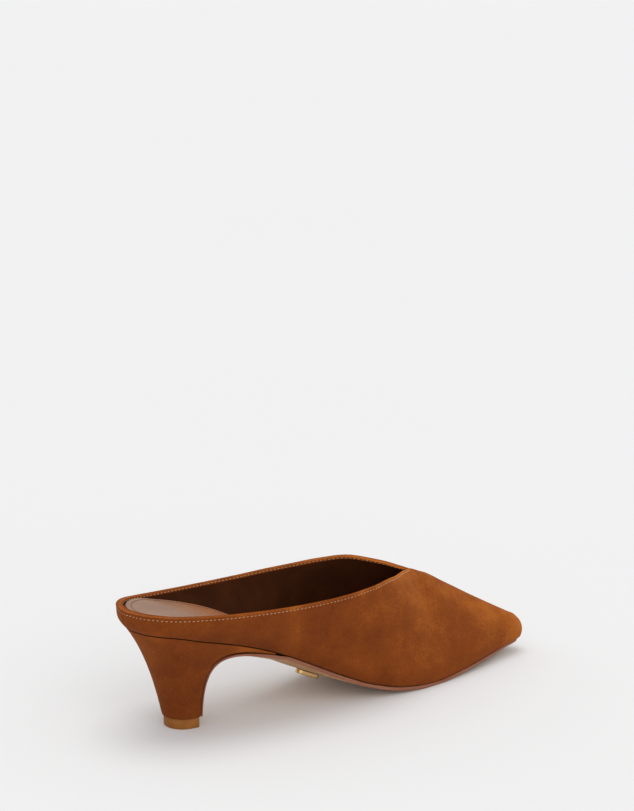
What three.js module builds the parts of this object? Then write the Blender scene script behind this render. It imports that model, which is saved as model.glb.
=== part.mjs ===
// A women's left mule with a pointed toe and a covered kitten heel, in millimetres.
// +X runs from the heel to the toe, +Y to the outer (lateral) side of the foot and +Z up.
// The floor is z = 0, and the origin is the middle of the top piece's flat bottom face.
import * as THREE from "three";
import { mergeVertices } from "three/addons/utils/BufferGeometryUtils.js";

// Driving dimensions
const LENGTH = 260; // back of the collar to the front of the toe
const BALL_WIDTH = 68; // width of the feather line at the ball of the foot
const COLLAR_WIDTH = 63.5; // widest part of the collar, outside to outside
const SEAT_HEIGHT = 54.2; // drop of the feather line from the back of the heel to the ball
const UPPER_HEIGHT = 56; // feather line to the throat point
const WALL = 1.7; // suede and lining together
const RIM_ROUND = 0.45; // how far the folded collar edge stands above its two faces
const ROLL_THICK = 2.0; // extra thickness of the collar's folded edge at the back
const ROLL_REACH = 0.3; // share of the feather line over which the roll fades towards the toe
const ROLL_RISE = 0.7; // share of the wall's height over which it fades downwards
const GAP = 0.3; // clearance between pieces that are cemented together
const BALL_SOLE = 1.8; // outsole thickness at the ball
const FLAP_SOLE = 0.7; // outsole skived down the heel breast
const FLAP_GAP = 0.6; // room for cement between the flap and the heel cover
const BALL_FLAT = 0.25; // depth of the ball's curve that is worn flat
const TOE_INSET = 1.5; // the outsole stops this far short of the feather line at the tip
const SIDE_INSET = 0.2; // and this far along the sides
const TOE_SHARE = 0.14; // share of the feather line over which the one becomes the other
const WAIST_CROWN = 5.2; // how far the middle of the sole hangs below its edges at the waist
const BED_CROWN = 0.6; // the foot bed follows this share of the sole's crown
const INSOLE_BALL = 3.2; // insole thickness at the ball
const INSOLE_SEAT = 9.2; // insole and seat padding at the back of the heel
const SOCK = 1.5; // leather sock on the insole
const SOCK_INSET = 1.2; // bare margin of insole round the sock
const SOCK_TOE = 8; // the sock stops this far short of the toe
const HEEL_FRONT = 80; // back of the collar to where the heel's covered wedge runs out
const HEEL_TIP = 0.5; // thickness of the wedge there
const WEDGE_SHARE = 0.6; // share of the seat's half outline that turns from the back's curve to the wedge
const HEEL_INSET = 0.2; // the heel cover lies this far inside the feather line
const TOP_PIECE_HEIGHT = 5.6;
const TOP_PIECE_WIDTH = 20.6;
const TOP_PIECE_LENGTH = 14.4;
const TOP_PIECE_BACK = 25.4; // back of the top piece from the back of the collar
const TOP_PIECE_INSET = 1.0; // the cover's edge stands this far proud of the top piece
const BREAST_HOLLOW = 1.2; // depth of the hollow across the heel breast
const BREAST_HOLLOW_SHARE = 0.6; // share of the breast over which the hollow sets in
const BREAST_CROWN_SHARE = 0.45; // share of the breast over which the waist's crown dies out
const PLATE_LENGTH = 15;
const PLATE_WIDTH = 5.4;
const PLATE_THICK = 2.2;
const PLATE_ROUND = 0.6; // radius round the plate's edges
const PLATE_AT = 112; // middle of the plate from the back of the collar
const PLATE_SIDE = -3; // and to the outer side of the middle

// Ribs of the upper from the middle of the back to the toe tip, each from its foot on the
// feather line to its top on the collar or, past the throat, on the ridge of the vamp.
// at, topAt: share of LENGTH. inner, outer: half widths at the foot, share of BALL_WIDTH.
// lift: share of SEAT_HEIGHT. topHalf: half width of the collar, share of COLLAR_WIDTH.
// drift: sideways place of the collar's middle and of the ridge, share of BALL_WIDTH.
// riseInner, riseOuter: top above foot, share of UPPER_HEIGHT.
// flare: degrees above level at the foot. fall: degrees below level at the top.
// turn: degrees away from straight ahead that the rib faces at its top.
// belly, crown: how far each end's direction is held, as shares of the rib's chord.
const RIB_COLUMNS = [
  "at", "inner", "outer", "lift", "topAt", "topHalf", "drift",
  "riseInner", "riseOuter", "flare", "fall", "turn", "belly", "crown",
];
const RIBS = [
  [0.018, 0.000, 0.000, 1.010, 0.002, 0.000, 0.000, 0.203, 0.203, 42, 92, 180, 0.42, 0.34],
  [0.025, 0.148, 0.148, 1.011, 0.010, 0.157, 0.000, 0.204, 0.198, 42, 92, 160, 0.42, 0.34],
  [0.044, 0.262, 0.262, 1.006, 0.031, 0.294, 0.000, 0.208, 0.192, 42, 92, 137, 0.42, 0.34],
  [0.078, 0.322, 0.322, 0.981, 0.065, 0.390, 0.000, 0.220, 0.196, 43, 92, 115, 0.42, 0.34],
  [0.127, 0.338, 0.340, 0.915, 0.117, 0.444, 0.000, 0.265, 0.238, 45, 92, 100, 0.42, 0.34],
  [0.190, 0.333, 0.341, 0.834, 0.182, 0.474, 0.000, 0.320, 0.303, 49, 91, 94, 0.40, 0.34],
  [0.260, 0.328, 0.342, 0.728, 0.254, 0.492, 0.002, 0.404, 0.400, 54, 90, 91, 0.38, 0.34],
  [0.330, 0.322, 0.346, 0.590, 0.330, 0.500, 0.004, 0.524, 0.535, 60, 88, 90, 0.36, 0.33],
  [0.400, 0.332, 0.374, 0.425, 0.403, 0.495, 0.006, 0.680, 0.706, 66, 85, 89, 0.34, 0.32],
  [0.468, 0.359, 0.430, 0.262, 0.473, 0.470, 0.009, 0.841, 0.877, 71, 79, 88, 0.32, 0.31],
  [0.536, 0.394, 0.500, 0.125, 0.540, 0.414, 0.014, 0.984, 1.031, 75, 69, 87, 0.30, 0.30],
  [0.602, 0.414, 0.562, 0.042, 0.604, 0.298, 0.022, 1.062, 1.118, 77, 53, 86, 0.28, 0.28],
  [0.650, 0.412, 0.587, 0.012, 0.656, 0.148, 0.038, 1.056, 1.091, 78, 36, 86, 0.27, 0.26],
  [0.682, 0.398, 0.584, 0.002, 0.690, 0.043, 0.056, 1.028, 1.044, 78, 24, 87, 0.26, 0.24],
  [0.704, 0.386, 0.572, 0.000, 0.706, 0.000, 0.062, 1.017, 1.017, 78, 20, 88, 0.26, 0.23],
  [0.748, 0.354, 0.529, 0.013, 0.746, 0.000, 0.062, 0.947, 0.947, 78, 18, 90, 0.26, 0.23],
  [0.798, 0.309, 0.456, 0.036, 0.790, 0.000, 0.056, 0.808, 0.808, 77, 17, 90, 0.26, 0.24],
  [0.850, 0.252, 0.353, 0.062, 0.838, 0.000, 0.044, 0.653, 0.653, 75, 17, 88, 0.27, 0.25],
  [0.900, 0.182, 0.243, 0.077, 0.884, 0.000, 0.028, 0.516, 0.516, 72, 19, 82, 0.29, 0.27],
  [0.940, 0.128, 0.151, 0.086, 0.920, 0.000, 0.014, 0.416, 0.416, 69, 24, 78, 0.33, 0.32],
  [0.968, 0.092, 0.100, 0.089, 0.944, 0.000, 0.005, 0.352, 0.352, 66, 30, 66, 0.36, 0.38],
  [0.982, 0.065, 0.067, 0.090, 0.960, 0.000, 0.001, 0.309, 0.309, 63, 34, 48, 0.39, 0.43],
  [0.989, 0.041, 0.041, 0.091, 0.970, 0.000, 0.000, 0.283, 0.283, 61, 35, 27, 0.41, 0.45],
  [0.992, 0.000, 0.000, 0.091, 0.974, 0.000, 0.000, 0.269, 0.269, 60, 35, 0, 0.42, 0.46],
];
const THROAT_ROW = 14; // first rib whose top lies on the ridge of the vamp
const ODD_COLUMNS = ["inner", "outer", "topHalf"]; // these change sign across the middle

// Crown of the bottom across the foot: at is a share of LENGTH, crown of WAIST_CROWN
const CROWNS = [
  [0.00, 0.16], [0.20, 0.26], [0.30, 0.72], [0.36, 0.92], [0.46, 0.70], [0.56, 0.36],
  [0.64, 0.07], [0.70, 0.00], [0.84, 0.02], [1.00, 0.03],
];
// Thickness of the insole: at is a share of LENGTH, depth goes from INSOLE_BALL (0) to INSOLE_SEAT (1)
const INSOLE_DEPTHS = [
  [0.00, 0.86], [0.05, 0.89], [0.12, 0.93], [0.22, 0.82], [0.34, 0.40], [0.46, 0.16],
  [0.58, 0.04], [0.68, 0.00], [1.00, 0.00],
];
// Thickness of the outsole: at is a share of LENGTH, depth of BALL_SOLE
const SOLE_DEPTHS = [
  [0.00, 0.94], [0.40, 0.94], [0.52, 0.97], [0.64, 1.00], [0.76, 0.92], [0.88, 0.76], [1.00, 0.66],
];
// How the heel's lines fan out: each row's line, its place along the seat's half outline
// and its place along the top piece's half outline, all as shares from the back to the breast
const HEEL_FAN = [
  [0.00, 0.00, 0.00], [0.45, 0.34, 0.68], [0.66, 0.54, 0.86], [1.00, 1.00, 1.00],
];
// Curve of the heel's lines, as shares of the way from the seat to the top piece, across and down
const BACK_LINE = { leaveIn: 0.46, leaveDown: 0.24, arriveIn: 0.24, arriveUp: 0.44 };
// Curve of the breast's corners: lengths along the waist and up from the top piece,
// as shares of the breast's run from the top piece to HEEL_FRONT and of its rise, and the slope
// there as a share of the feather line's
const BREAST_LINE = {
  leaveRun: 0.78, leaveSlope: 0.68, arriveRise: 1.08, leaveNarrow: 0.90, arriveWiden: 1.18,
};

const STEPS_PER_RIB = 3;
const RISES = 8; // steps up each rib
const ACROSS = 4; // steps across the bottom pieces
const HEEL_LINES = 18; // lines from the back of the heel to its breast on each side
const HEEL_RINGS = 12; // steps down each line
const BLEND = 9; // the outsole closes up under the waist over this length past HEEL_FRONT

// Curve through (x, y) pairs that never overshoots. A sign mirrors the row past that end.
function through(xs, ys, startSign = 0, endSign = 0) {
  const x = [...xs];
  const y = [...ys];
  const last = xs.length - 1;
  if (startSign) {
    x.unshift(2 * xs[0] - xs[1]);
    y.unshift(startSign * ys[1]);
  }
  if (endSign) {
    x.push(2 * xs[last] - xs[last - 1]);
    y.push(endSign * ys[last - 1]);
  }
  const n = x.length;
  const h = [];
  const d = [];
  for (let i = 0; i < n - 1; i++) {
    h.push(x[i + 1] - x[i]);
    d.push((y[i + 1] - y[i]) / h[i]);
  }
  const m = [d[0]];
  for (let i = 1; i < n - 1; i++) {
    const near = 2 * h[i] + h[i - 1];
    const far = h[i] + 2 * h[i - 1];
    m.push(d[i - 1] * d[i] <= 0 ? 0 : (near + far) / (near / d[i - 1] + far / d[i]));
  }
  m.push(d[n - 2]);
  return (at) => {
    let i = 0;
    while (i < n - 2 && at > x[i + 1]) i++;
    const t = THREE.MathUtils.clamp((at - x[i]) / h[i], 0, 1);
    const u = 1 - t;
    const ends = (1 + 2 * t) * u * u * y[i] + t * t * (3 - 2 * t) * y[i + 1];
    return ends + h[i] * t * u * (u * m[i] - t * m[i + 1]);
  };
}

const V = (x, y, z) => new THREE.Vector3(x, y, z);
const smooth = (x) => THREE.MathUtils.smoothstep(x, 0, 1);
const radians = THREE.MathUtils.degToRad;
const steps = (n) => Array.from({ length: n + 1 }, (_, i) => i / n);
const SIDES = [-1, 1]; // inner side, outer side

// Distance along the feather line up to each rib, as a share of its whole half length
function ribPlaces() {
  const along = [0];
  for (let i = 1; i < RIBS.length; i++) {
    const dx = (RIBS[i][0] - RIBS[i - 1][0]) * LENGTH;
    const dy = (RIBS[i][1] - RIBS[i - 1][1]) * BALL_WIDTH;
    along.push(along[i - 1] + Math.hypot(dx, dy));
  }
  return along.map((a) => a / along[along.length - 1]);
}
const PLACES = ribPlaces();
const THROAT = PLACES[THROAT_ROW];

const column = {};
RIB_COLUMNS.forEach((name, k) => {
  const sign = ODD_COLUMNS.includes(name) ? -1 : 1;
  const rows = name === "topHalf" ? THROAT_ROW + 1 : RIBS.length;
  const values = RIBS.slice(0, rows).map((row) => row[k]);
  column[name] = through(PLACES.slice(0, rows), values, sign, sign);
});
const bySections = (rows) => through(rows.map((r) => r[0] * LENGTH), rows.map((r) => r[1]));
const crownShare = bySections(CROWNS);
const insoleShare = bySections(INSOLE_DEPTHS);
const soleShare = bySections(SOLE_DEPTHS);

// Places along the shoe at which the skins are divided
const SPANS = [];
for (let i = 0; i < PLACES.length - 1; i++) {
  for (let q = 0; q < STEPS_PER_RIB; q++) {
    SPANS.push(THREE.MathUtils.lerp(PLACES[i], PLACES[i + 1], q / STEPS_PER_RIB));
  }
}
SPANS.push(1);

// Feather line, where the upper meets the sole and the heel
const FEATHER_BASE = BALL_SOLE + GAP;
const featherHeight = through(
  RIBS.map((row) => row[0] * LENGTH),
  RIBS.map((row) => FEATHER_BASE + row[3] * SEAT_HEIGHT),
);

function foot(s, side) {
  const half = (side < 0 ? column.inner(s) : column.outer(s)) * BALL_WIDTH;
  return V(column.at(s) * LENGTH, side * half, FEATHER_BASE + column.lift(s) * SEAT_HEIGHT);
}

// Level direction that points out of the shoe at the feather line
function footOut(s, side) {
  const step = 0.002;
  const a = foot(Math.max(0, s - step), side);
  const b = foot(Math.min(1, s + step), side);
  if (s === 0) return V(-1, 0, 0);
  if (s === 1) return V(1, 0, 0);
  return V(side * (a.y - b.y), side * (b.x - a.x), 0).normalize();
}

function ribTop(s, side) {
  const half = s >= THROAT ? 0 : column.topHalf(s) * COLLAR_WIDTH;
  const riseShare = side < 0 || s >= THROAT ? column.riseInner(s) : column.riseOuter(s);
  const y = column.drift(s) * BALL_WIDTH + side * half;
  return V(column.topAt(s) * LENGTH, y, foot(s, side).z + riseShare * UPPER_HEIGHT);
}

// Outer face of the upper: s runs round the shoe, t up the rib from the feather line
const ribs = new Map();
function rib(s, side) {
  const key = `${s}/${side}`;
  if (ribs.has(key)) return ribs.get(key);
  const a = foot(s, side);
  const d = ribTop(s, side);
  const chord = a.distanceTo(d);
  const flare = radians(column.flare(s));
  const fall = radians(column.fall(s));
  const turn = radians(column.turn(s));
  const leave = footOut(s, side).multiplyScalar(Math.cos(flare)).add(V(0, 0, Math.sin(flare)));
  const face = V(Math.cos(turn), side * Math.sin(turn), 0);
  const arrive = face.multiplyScalar(Math.cos(fall)).sub(V(0, 0, Math.sin(fall)));
  const b = a.clone().addScaledVector(leave, column.belly(s) * chord);
  const c = d.clone().addScaledVector(arrive, column.crown(s) * chord);
  const curve = new THREE.CubicBezierCurve3(a, b, c, d);
  ribs.set(key, curve);
  return curve;
}
const skin = (s, side, t) => rib(s, side).getPoint(t);
const inMiddle = (s, t) => s === 0 || s === 1 || (t === 1 && s >= THROAT);

function facing(s, side, t) {
  const ds = 0.002;
  const dt = 0.01;
  const across = s === 0 || s === 1;
  const ahead = skin(Math.min(1, s + ds), side, t);
  const along = across ? V(0, side * (1 - 2 * s), 0) : ahead.sub(skin(Math.max(0, s - ds), side, t));
  const up = skin(s, side, Math.min(1, t + dt)).sub(skin(s, side, Math.max(0, t - dt)));
  return up.cross(along).normalize().multiplyScalar(side);
}

// Outward normal, or the mitre of both halves' normals where they meet
function skinOut(s, side, t) {
  const out = facing(s, side, t);
  if (!inMiddle(s, t)) return out;
  const both = facing(s, -side, t).add(out);
  return both.divideScalar(both.dot(out));
}

function wallDepth(s, t) {
  const round = 1 - smooth(s / ROLL_REACH);
  const up = smooth((t - 1 + ROLL_RISE) / ROLL_RISE);
  return WALL + ROLL_THICK * round * up;
}

// Rib on the inner face, or further in by a clearance. Its foot stays level with the feather line.
const liningRibs = new Map();
function liningRib(s, side, clearance) {
  const key = `${s}/${side}/${clearance}`;
  if (liningRibs.has(key)) return liningRibs.get(key);
  const { v0, v1, v2, v3 } = rib(s, side);
  const inset = (point, t) => {
    return point.clone().addScaledVector(skinOut(s, side, t), -wallDepth(s, t) - clearance);
  };
  const level = -(WALL + clearance) / Math.sin(radians(column.flare(s)));
  const start = v0.clone().addScaledVector(footOut(s, side), level);
  const curve = new THREE.CubicBezierCurve3(start, inset(v1, 1 / 3), inset(v2, 2 / 3), inset(v3, 1));
  liningRibs.set(key, curve);
  return curve;
}
const lining = (s, side, t, clearance = 0) => liningRib(s, side, clearance).getPoint(t);

// Point beside the inner face at a height
function besideWall(s, side, height, clearance) {
  const points = steps(RISES).map((t) => lining(s, side, t, clearance));
  let k = 1;
  while (k < RISES && points[k].z < height) k++;
  const share = (height - points[k - 1].z) / (points[k].z - points[k - 1].z);
  return points[k - 1].lerp(points[k], Math.min(1, share));
}

// Underside of the lasted upper, where w is -1 on the inner edge and 1 on the outer edge
function bottomHeight(x, w) {
  return featherHeight(x) - WAIST_CROWN * crownShare(x) * (1 - w * w);
}

// Closed mesh from grids of points. A flipped grid faces the other way.
function solid(name, grids, look) {
  const places = new Map();
  const positions = [];
  const index = [];
  const vertex = (p) => {
    const key = p.toArray().map((value) => Math.round(value * 1000)).join();
    if (!places.has(key)) {
      places.set(key, places.size);
      positions.push(p.x, p.y, p.z);
    }
    return places.get(key);
  };
  const face = (a, b, c) => {
    if (a !== b && b !== c && c !== a) index.push(a, b, c);
  };
  for (const { rows, flip } of grids) {
    const ids = rows.map((row) => row.map(vertex));
    for (let i = 0; i < ids.length - 1; i++) {
      for (let j = 0; j < ids[i].length - 1; j++) {
        const corners = [ids[i][j], ids[i + 1][j], ids[i + 1][j + 1], ids[i][j + 1]];
        const [a, b, c, d] = flip ? corners.reverse() : corners;
        face(a, b, c);
        face(a, c, d);
      }
    }
  }
  const geometry = new THREE.BufferGeometry();
  geometry.setAttribute("position", new THREE.Float32BufferAttribute(positions, 3));
  geometry.setIndex(index);
  return named(name, geometry, look);
}

function named(name, geometry, look) {
  geometry.computeVertexNormals();
  const mesh = new THREE.Mesh(geometry, new THREE.MeshStandardMaterial(look));
  mesh.name = name;
  return mesh;
}

const SUEDE = { color: 0x7d461c, roughness: 0.95, metalness: 0 };
const HEEL_SUEDE = { color: 0x70401a, roughness: 0.95, metalness: 0 };
const SOLE_LEATHER = { color: 0xa9744a, roughness: 0.6, metalness: 0 };
const SOCK_LEATHER = { color: 0x6a4326, roughness: 0.5, metalness: 0 };
const BOARD = { color: 0x4a2c17, roughness: 0.8, metalness: 0 };
const TOP_PIECE_LOOK = { color: 0x99662f, roughness: 0.55, metalness: 0 };
const PLATE_LOOK = { color: 0xc9a063, roughness: 0.3, metalness: 1 };

// Direction across the collar's edge, up and away from the wall
function rimUp(s, side) {
  const ds = 0.002;
  const edge = ribTop(Math.min(THROAT, s + ds), side).sub(ribTop(Math.max(0, s - ds), side));
  return edge.cross(facing(s, side, 1)).multiplyScalar(-side).normalize();
}

// Folded edge of the collar between the outer face and the lining
function rimRow(s, side) {
  const outer = skin(s, side, 1);
  const inner = lining(s, side, 1);
  const up = inMiddle(s, 1) ? rimUp(s, side).add(rimUp(s, -side)).normalize() : rimUp(s, side);
  const crest = outer.clone().lerp(inner, 0.5).addScaledVector(up, RIM_ROUND);
  return [outer, crest, inner];
}

function upper() {
  const grids = [];
  for (const side of SIDES) {
    const outward = side > 0;
    const outer = SPANS.map((s) => steps(RISES).map((t) => skin(s, side, t)));
    const inner = SPANS.map((s) => steps(RISES).map((t) => lining(s, side, t)));
    const band = SPANS.map((_, i) => [outer[i][0], inner[i][0]]);
    const rim = SPANS.filter((s) => s <= THROAT).map((s) => rimRow(s, side));
    grids.push({ rows: outer, flip: outward });
    grids.push({ rows: inner, flip: !outward });
    grids.push({ rows: band, flip: !outward });
    grids.push({ rows: rim, flip: outward });
  }
  return solid("upper", grids, SUEDE);
}

// Slab whose two faces are rows across the foot and whose sides join their edges
function slab(name, lower, higher, look, ends = []) {
  const last = lower[0].length - 1;
  const inner = lower.map((row, i) => [row[0], higher[i][0]]);
  const outer = lower.map((row, i) => [row[last], higher[i][last]]);
  const grids = [
    { rows: higher, flip: false },
    { rows: lower, flip: true },
    { rows: inner, flip: false },
    { rows: outer, flip: true },
    ...ends,
  ];
  return solid(name, grids, look);
}

// Row of points between two edge points, with heights from a function of place and share across
function acrossRow(from, to, height) {
  return steps(ACROSS).map((k) => {
    const p = from.clone().lerp(to, k);
    const w = 2 * k - 1;
    p.z = height(p.x, w);
    return p;
  });
}

// Foot bed inside the upper, at a distance above the underside that changes along the shoe
const bedDepth = (x) => THREE.MathUtils.lerp(INSOLE_BALL, INSOLE_SEAT, insoleShare(x));
function bedHeight(x, w, above) {
  const crown = (featherHeight(x) - bottomHeight(x, w)) * BED_CROWN;
  return featherHeight(x) - crown + bedDepth(x) + above;
}
function bedRow(s, above, inset) {
  const edges = SIDES.map((side) => {
    const x = foot(s, side).x;
    return besideWall(s, side, bedHeight(x, side, above), GAP + inset);
  });
  return acrossRow(edges[0], edges[1], (x, w) => bedHeight(x, w, above));
}

function insole() {
  const lower = SPANS.map((s) => {
    const edges = SIDES.map((side) => lining(s, side, 0, GAP));
    return acrossRow(edges[0], edges[1], bottomHeight);
  });
  return slab("insole", lower, SPANS.map((s) => bedRow(s, 0, 0)), BOARD);
}

function sock() {
  const spans = SPANS.filter((s) => foot(s, 1).x < LENGTH - SOCK_TOE);
  const lower = spans.map((s) => bedRow(s, GAP, SOCK_INSET));
  const higher = spans.map((s) => bedRow(s, GAP + SOCK, SOCK_INSET));
  const front = { rows: [higher[spans.length - 1], lower[spans.length - 1]], flip: false };
  return slab("sock", lower, higher, SOCK_LEATHER, [front]);
}

// Half outline of the top piece, grown by a margin: straight sides behind the breast, round at the back
function topPiecePoint(share, side, margin) {
  const radius = TOP_PIECE_WIDTH / 2 + margin;
  const straight = Math.max(0, TOP_PIECE_LENGTH - TOP_PIECE_WIDTH / 2);
  const arc = radius * Math.PI / 2;
  const run = share * (arc + straight);
  const angle = Math.min(run / radius, Math.PI / 2);
  const beyond = Math.max(0, run - arc);
  const centre = TOP_PIECE_BACK + TOP_PIECE_WIDTH / 2;
  return V(centre - radius * Math.cos(angle) + beyond, side * radius * Math.sin(angle), 0);
}
const TOP_PIECE_CENTRE = TOP_PIECE_BACK + TOP_PIECE_LENGTH / 2;

function topPiece() {
  const shares = steps(HEEL_LINES);
  const row = (share, z) => SIDES.map((side) => topPiecePoint(share, side, 0).setZ(z));
  const lower = shares.map((share) => row(share, 0));
  const higher = shares.map((share) => row(share, TOP_PIECE_HEIGHT));
  const front = { rows: [higher[HEEL_LINES], lower[HEEL_LINES]], flip: false };
  return slab("top_piece", lower, higher, TOP_PIECE_LOOK, [front]);
}

// Feather line share at HEEL_FRONT
function shareAt(x) {
  let low = 0;
  let high = 1;
  for (let k = 0; k < 30; k++) {
    const mid = (low + high) / 2;
    if (column.at(mid) * LENGTH < x) low = mid;
    else high = mid;
  }
  return high;
}
const FRONT_SHARE = shareAt(HEEL_FRONT);
const seatFan = through(HEEL_FAN.map((r) => r[0]), HEEL_FAN.map((r) => r[1]));
const footFan = through(HEEL_FAN.map((r) => r[0]), HEEL_FAN.map((r) => r[2]));
const HEEL_BOTTOM = TOP_PIECE_HEIGHT + GAP;

function seatPoint(q, side) {
  const s = seatFan(q) * FRONT_SHARE;
  const p = foot(s, side).addScaledVector(footOut(s, side), -HEEL_INSET);
  p.z = featherHeight(p.x) - GAP;
  return p;
}

// One line of the heel, from the seat down to the top piece
function heelLine(q, side) {
  const a = seatPoint(q, side);
  const d = topPiecePoint(footFan(q), side, TOP_PIECE_INSET).setZ(HEEL_BOTTOM);
  const way = d.clone().sub(a);
  const wedge = smooth((seatFan(q) - 1 + WEDGE_SHARE) / WEDGE_SHARE);
  const start = V(a.x, a.y, a.z - HEEL_TIP * wedge);
  const slope = (featherHeight(HEEL_FRONT) - featherHeight(HEEL_FRONT - BLEND)) / BLEND;
  const run = (HEEL_FRONT - TOP_PIECE_BACK - TOP_PIECE_LENGTH) * BREAST_LINE.leaveRun;
  const rise = (featherHeight(HEEL_FRONT) - HEEL_BOTTOM) * BREAST_LINE.arriveRise;
  const b = V(
    start.x + THREE.MathUtils.lerp(BACK_LINE.leaveIn * way.x, -run, wedge),
    THREE.MathUtils.lerp(start.y + BACK_LINE.leaveIn * way.y, start.y * BREAST_LINE.leaveNarrow, wedge),
    start.z + THREE.MathUtils.lerp(BACK_LINE.leaveDown * way.z, -run * slope * BREAST_LINE.leaveSlope, wedge),
  );
  const c = V(
    d.x - THREE.MathUtils.lerp(BACK_LINE.arriveIn * way.x, 0, wedge),
    THREE.MathUtils.lerp(d.y - BACK_LINE.arriveIn * way.y, d.y * BREAST_LINE.arriveWiden, wedge),
    d.z + THREE.MathUtils.lerp(-BACK_LINE.arriveUp * way.z, rise, wedge),
  );
  return new THREE.CubicBezierCurve3(start, b, c, d);
}

// Row across the breast of the heel: v runs down it, and lift moves it away from the heel
function breastRow(v, lift) {
  const lines = SIDES.map((side) => heelLine(1, side));
  const ends = lines.map((line) => line.getPoint(v));
  const tangent = lines[0].getTangent(v).add(lines[1].getTangent(v));
  const out = V(-tangent.z, 0, tangent.x).normalize();
  const crown = WAIST_CROWN * crownShare(HEEL_FRONT) * (1 - smooth(v / BREAST_CROWN_SHARE));
  const hollow = BREAST_HOLLOW * Math.sin(Math.PI * v) * smooth(v / BREAST_HOLLOW_SHARE);
  return steps(ACROSS).map((k) => {
    const w = 2 * k - 1;
    const swell = (crown - hollow) * (1 - w * w);
    return ends[0].clone().lerp(ends[1], k).addScaledVector(out, swell + lift);
  });
}

function heel() {
  const lines = steps(HEEL_LINES);
  const rings = steps(HEEL_RINGS);
  const grids = [];
  for (const side of SIDES) {
    const rows = lines.map((q) => [seatPoint(q, side), ...heelLine(q, side).getPoints(HEEL_RINGS)]);
    grids.push({ rows, flip: side < 0 });
  }
  const seat = lines.map((q) => {
    return acrossRow(seatPoint(q, -1), seatPoint(q, 1), (x, w) => bottomHeight(x, w) - GAP);
  });
  const bottom = lines.map((q) => {
    const ends = SIDES.map((side) => heelLine(q, side).getPoint(1));
    return steps(ACROSS).map((k) => ends[0].clone().lerp(ends[1], k));
  });
  const breast = [seat[HEEL_LINES], ...rings.map((v) => breastRow(v, 0))];
  grids.push({ rows: seat, flip: false });
  grids.push({ rows: bottom, flip: true });
  grids.push({ rows: breast, flip: false });
  return solid("heel", grids, HEEL_SUEDE);
}

// Outsole: rows run from the foot of the breast flap up and forward to the toe
function soleRows() {
  const rows = steps(HEEL_RINGS).reverse().map((v) => breastRow(v, FLAP_GAP));
  const front = rows[rows.length - 1];
  const join = front[0].z - (featherHeight(front[0].x) - GAP);
  for (const s of SPANS.filter((span) => span > FRONT_SHARE + 0.01)) {
    const inset = THREE.MathUtils.lerp(SIDE_INSET, TOE_INSET, smooth((s - 1 + TOE_SHARE) / TOE_SHARE));
    const edges = SIDES.map((side) => foot(s, side).addScaledVector(footOut(s, side), -inset));
    const drop = (x) => GAP - join * (1 - smooth((x - HEEL_FRONT) / BLEND));
    rows.push(acrossRow(edges[0], edges[1], (x, w) => bottomHeight(x, w) - drop(x)));
  }
  return rows;
}

function soleThicknessAt(x) {
  const onFlap = 1 - smooth((x - TOP_PIECE_CENTRE) / (HEEL_FRONT - TOP_PIECE_CENTRE));
  return THREE.MathUtils.lerp(BALL_SOLE * soleShare(x), FLAP_SOLE, onFlap);
}

function outsole() {
  const higher = soleRows();
  const lower = higher.map((row, i) => {
    const before = higher[Math.max(0, i - 1)][ACROSS / 2];
    const after = higher[Math.min(higher.length - 1, i + 1)][ACROSS / 2];
    const out = V(after.z - before.z, 0, before.x - after.x).normalize();
    const thick = soleThicknessAt(row[ACROSS / 2].x);
    return row.map((p) => {
      const q = p.clone().addScaledVector(out, thick);
      if (q.x > HEEL_FRONT) q.z = Math.max(0, q.z - BALL_FLAT * smooth((q.x - HEEL_FRONT) / BLEND));
      return q;
    });
  });
  const end = { rows: [higher[0], lower[0]], flip: true };
  return slab("outsole", lower, higher, SOLE_LEATHER, [end]);
}

// Plain rounded plate under the waist, level with the sole's slope there
function solePlate() {
  const half = PLATE_WIDTH / 2 - PLATE_ROUND;
  const reach = PLATE_LENGTH / 2 - PLATE_ROUND - half;
  const outline = new THREE.Shape();
  outline.absarc(reach, 0, half, -Math.PI / 2, Math.PI / 2);
  outline.absarc(-reach, 0, half, Math.PI / 2, 3 * Math.PI / 2);
  const geometry = new THREE.ExtrudeGeometry(outline, {
    depth: PLATE_THICK - 2 * PLATE_ROUND,
    bevelThickness: PLATE_ROUND,
    bevelSize: PLATE_ROUND,
    bevelSegments: 2,
    curveSegments: 8,
  });
  geometry.translate(0, 0, PLATE_ROUND - PLATE_THICK);
  const bare = mergeVertices(geometry.deleteAttribute("normal").deleteAttribute("uv"));
  const plate = named("sole_plate", bare, PLATE_LOOK);
  const under = (x) => bottomHeight(x, 0) - GAP - soleThicknessAt(x) - BALL_FLAT - GAP;
  const slope = Math.atan2(under(PLATE_AT - reach) - under(PLATE_AT + reach), 2 * reach);
  const ends = (under(PLATE_AT - reach) + under(PLATE_AT + reach)) / 2;
  plate.position.set(PLATE_AT, PLATE_SIDE, Math.min(ends, under(PLATE_AT)));
  plate.rotation.y = slope;
  return plate;
}

const shoe = new THREE.Group();
shoe.add(upper(), insole(), sock(), heel(), outsole(), topPiece(), solePlate());
shoe.position.x = -TOP_PIECE_CENTRE;

export default shoe;
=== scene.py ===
"""A women's left mule in tan suede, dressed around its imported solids.

Shapes are worked out in millimetres from the shoe's own sizes, x from the back of the collar, and
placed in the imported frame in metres. s runs along the feather line from the middle of the back (0)
to the toe tip (1), t up the wall from the feather line (0) to the collar or the ridge (1), and
side is -1 on the inner side of the foot and 1 on the outer side.
"""
import math

import bmesh
import bpy
import numpy as np
from mathutils import Matrix, Vector
from mathutils.bvhtree import BVHTree
from mathutils.kdtree import KDTree

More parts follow.
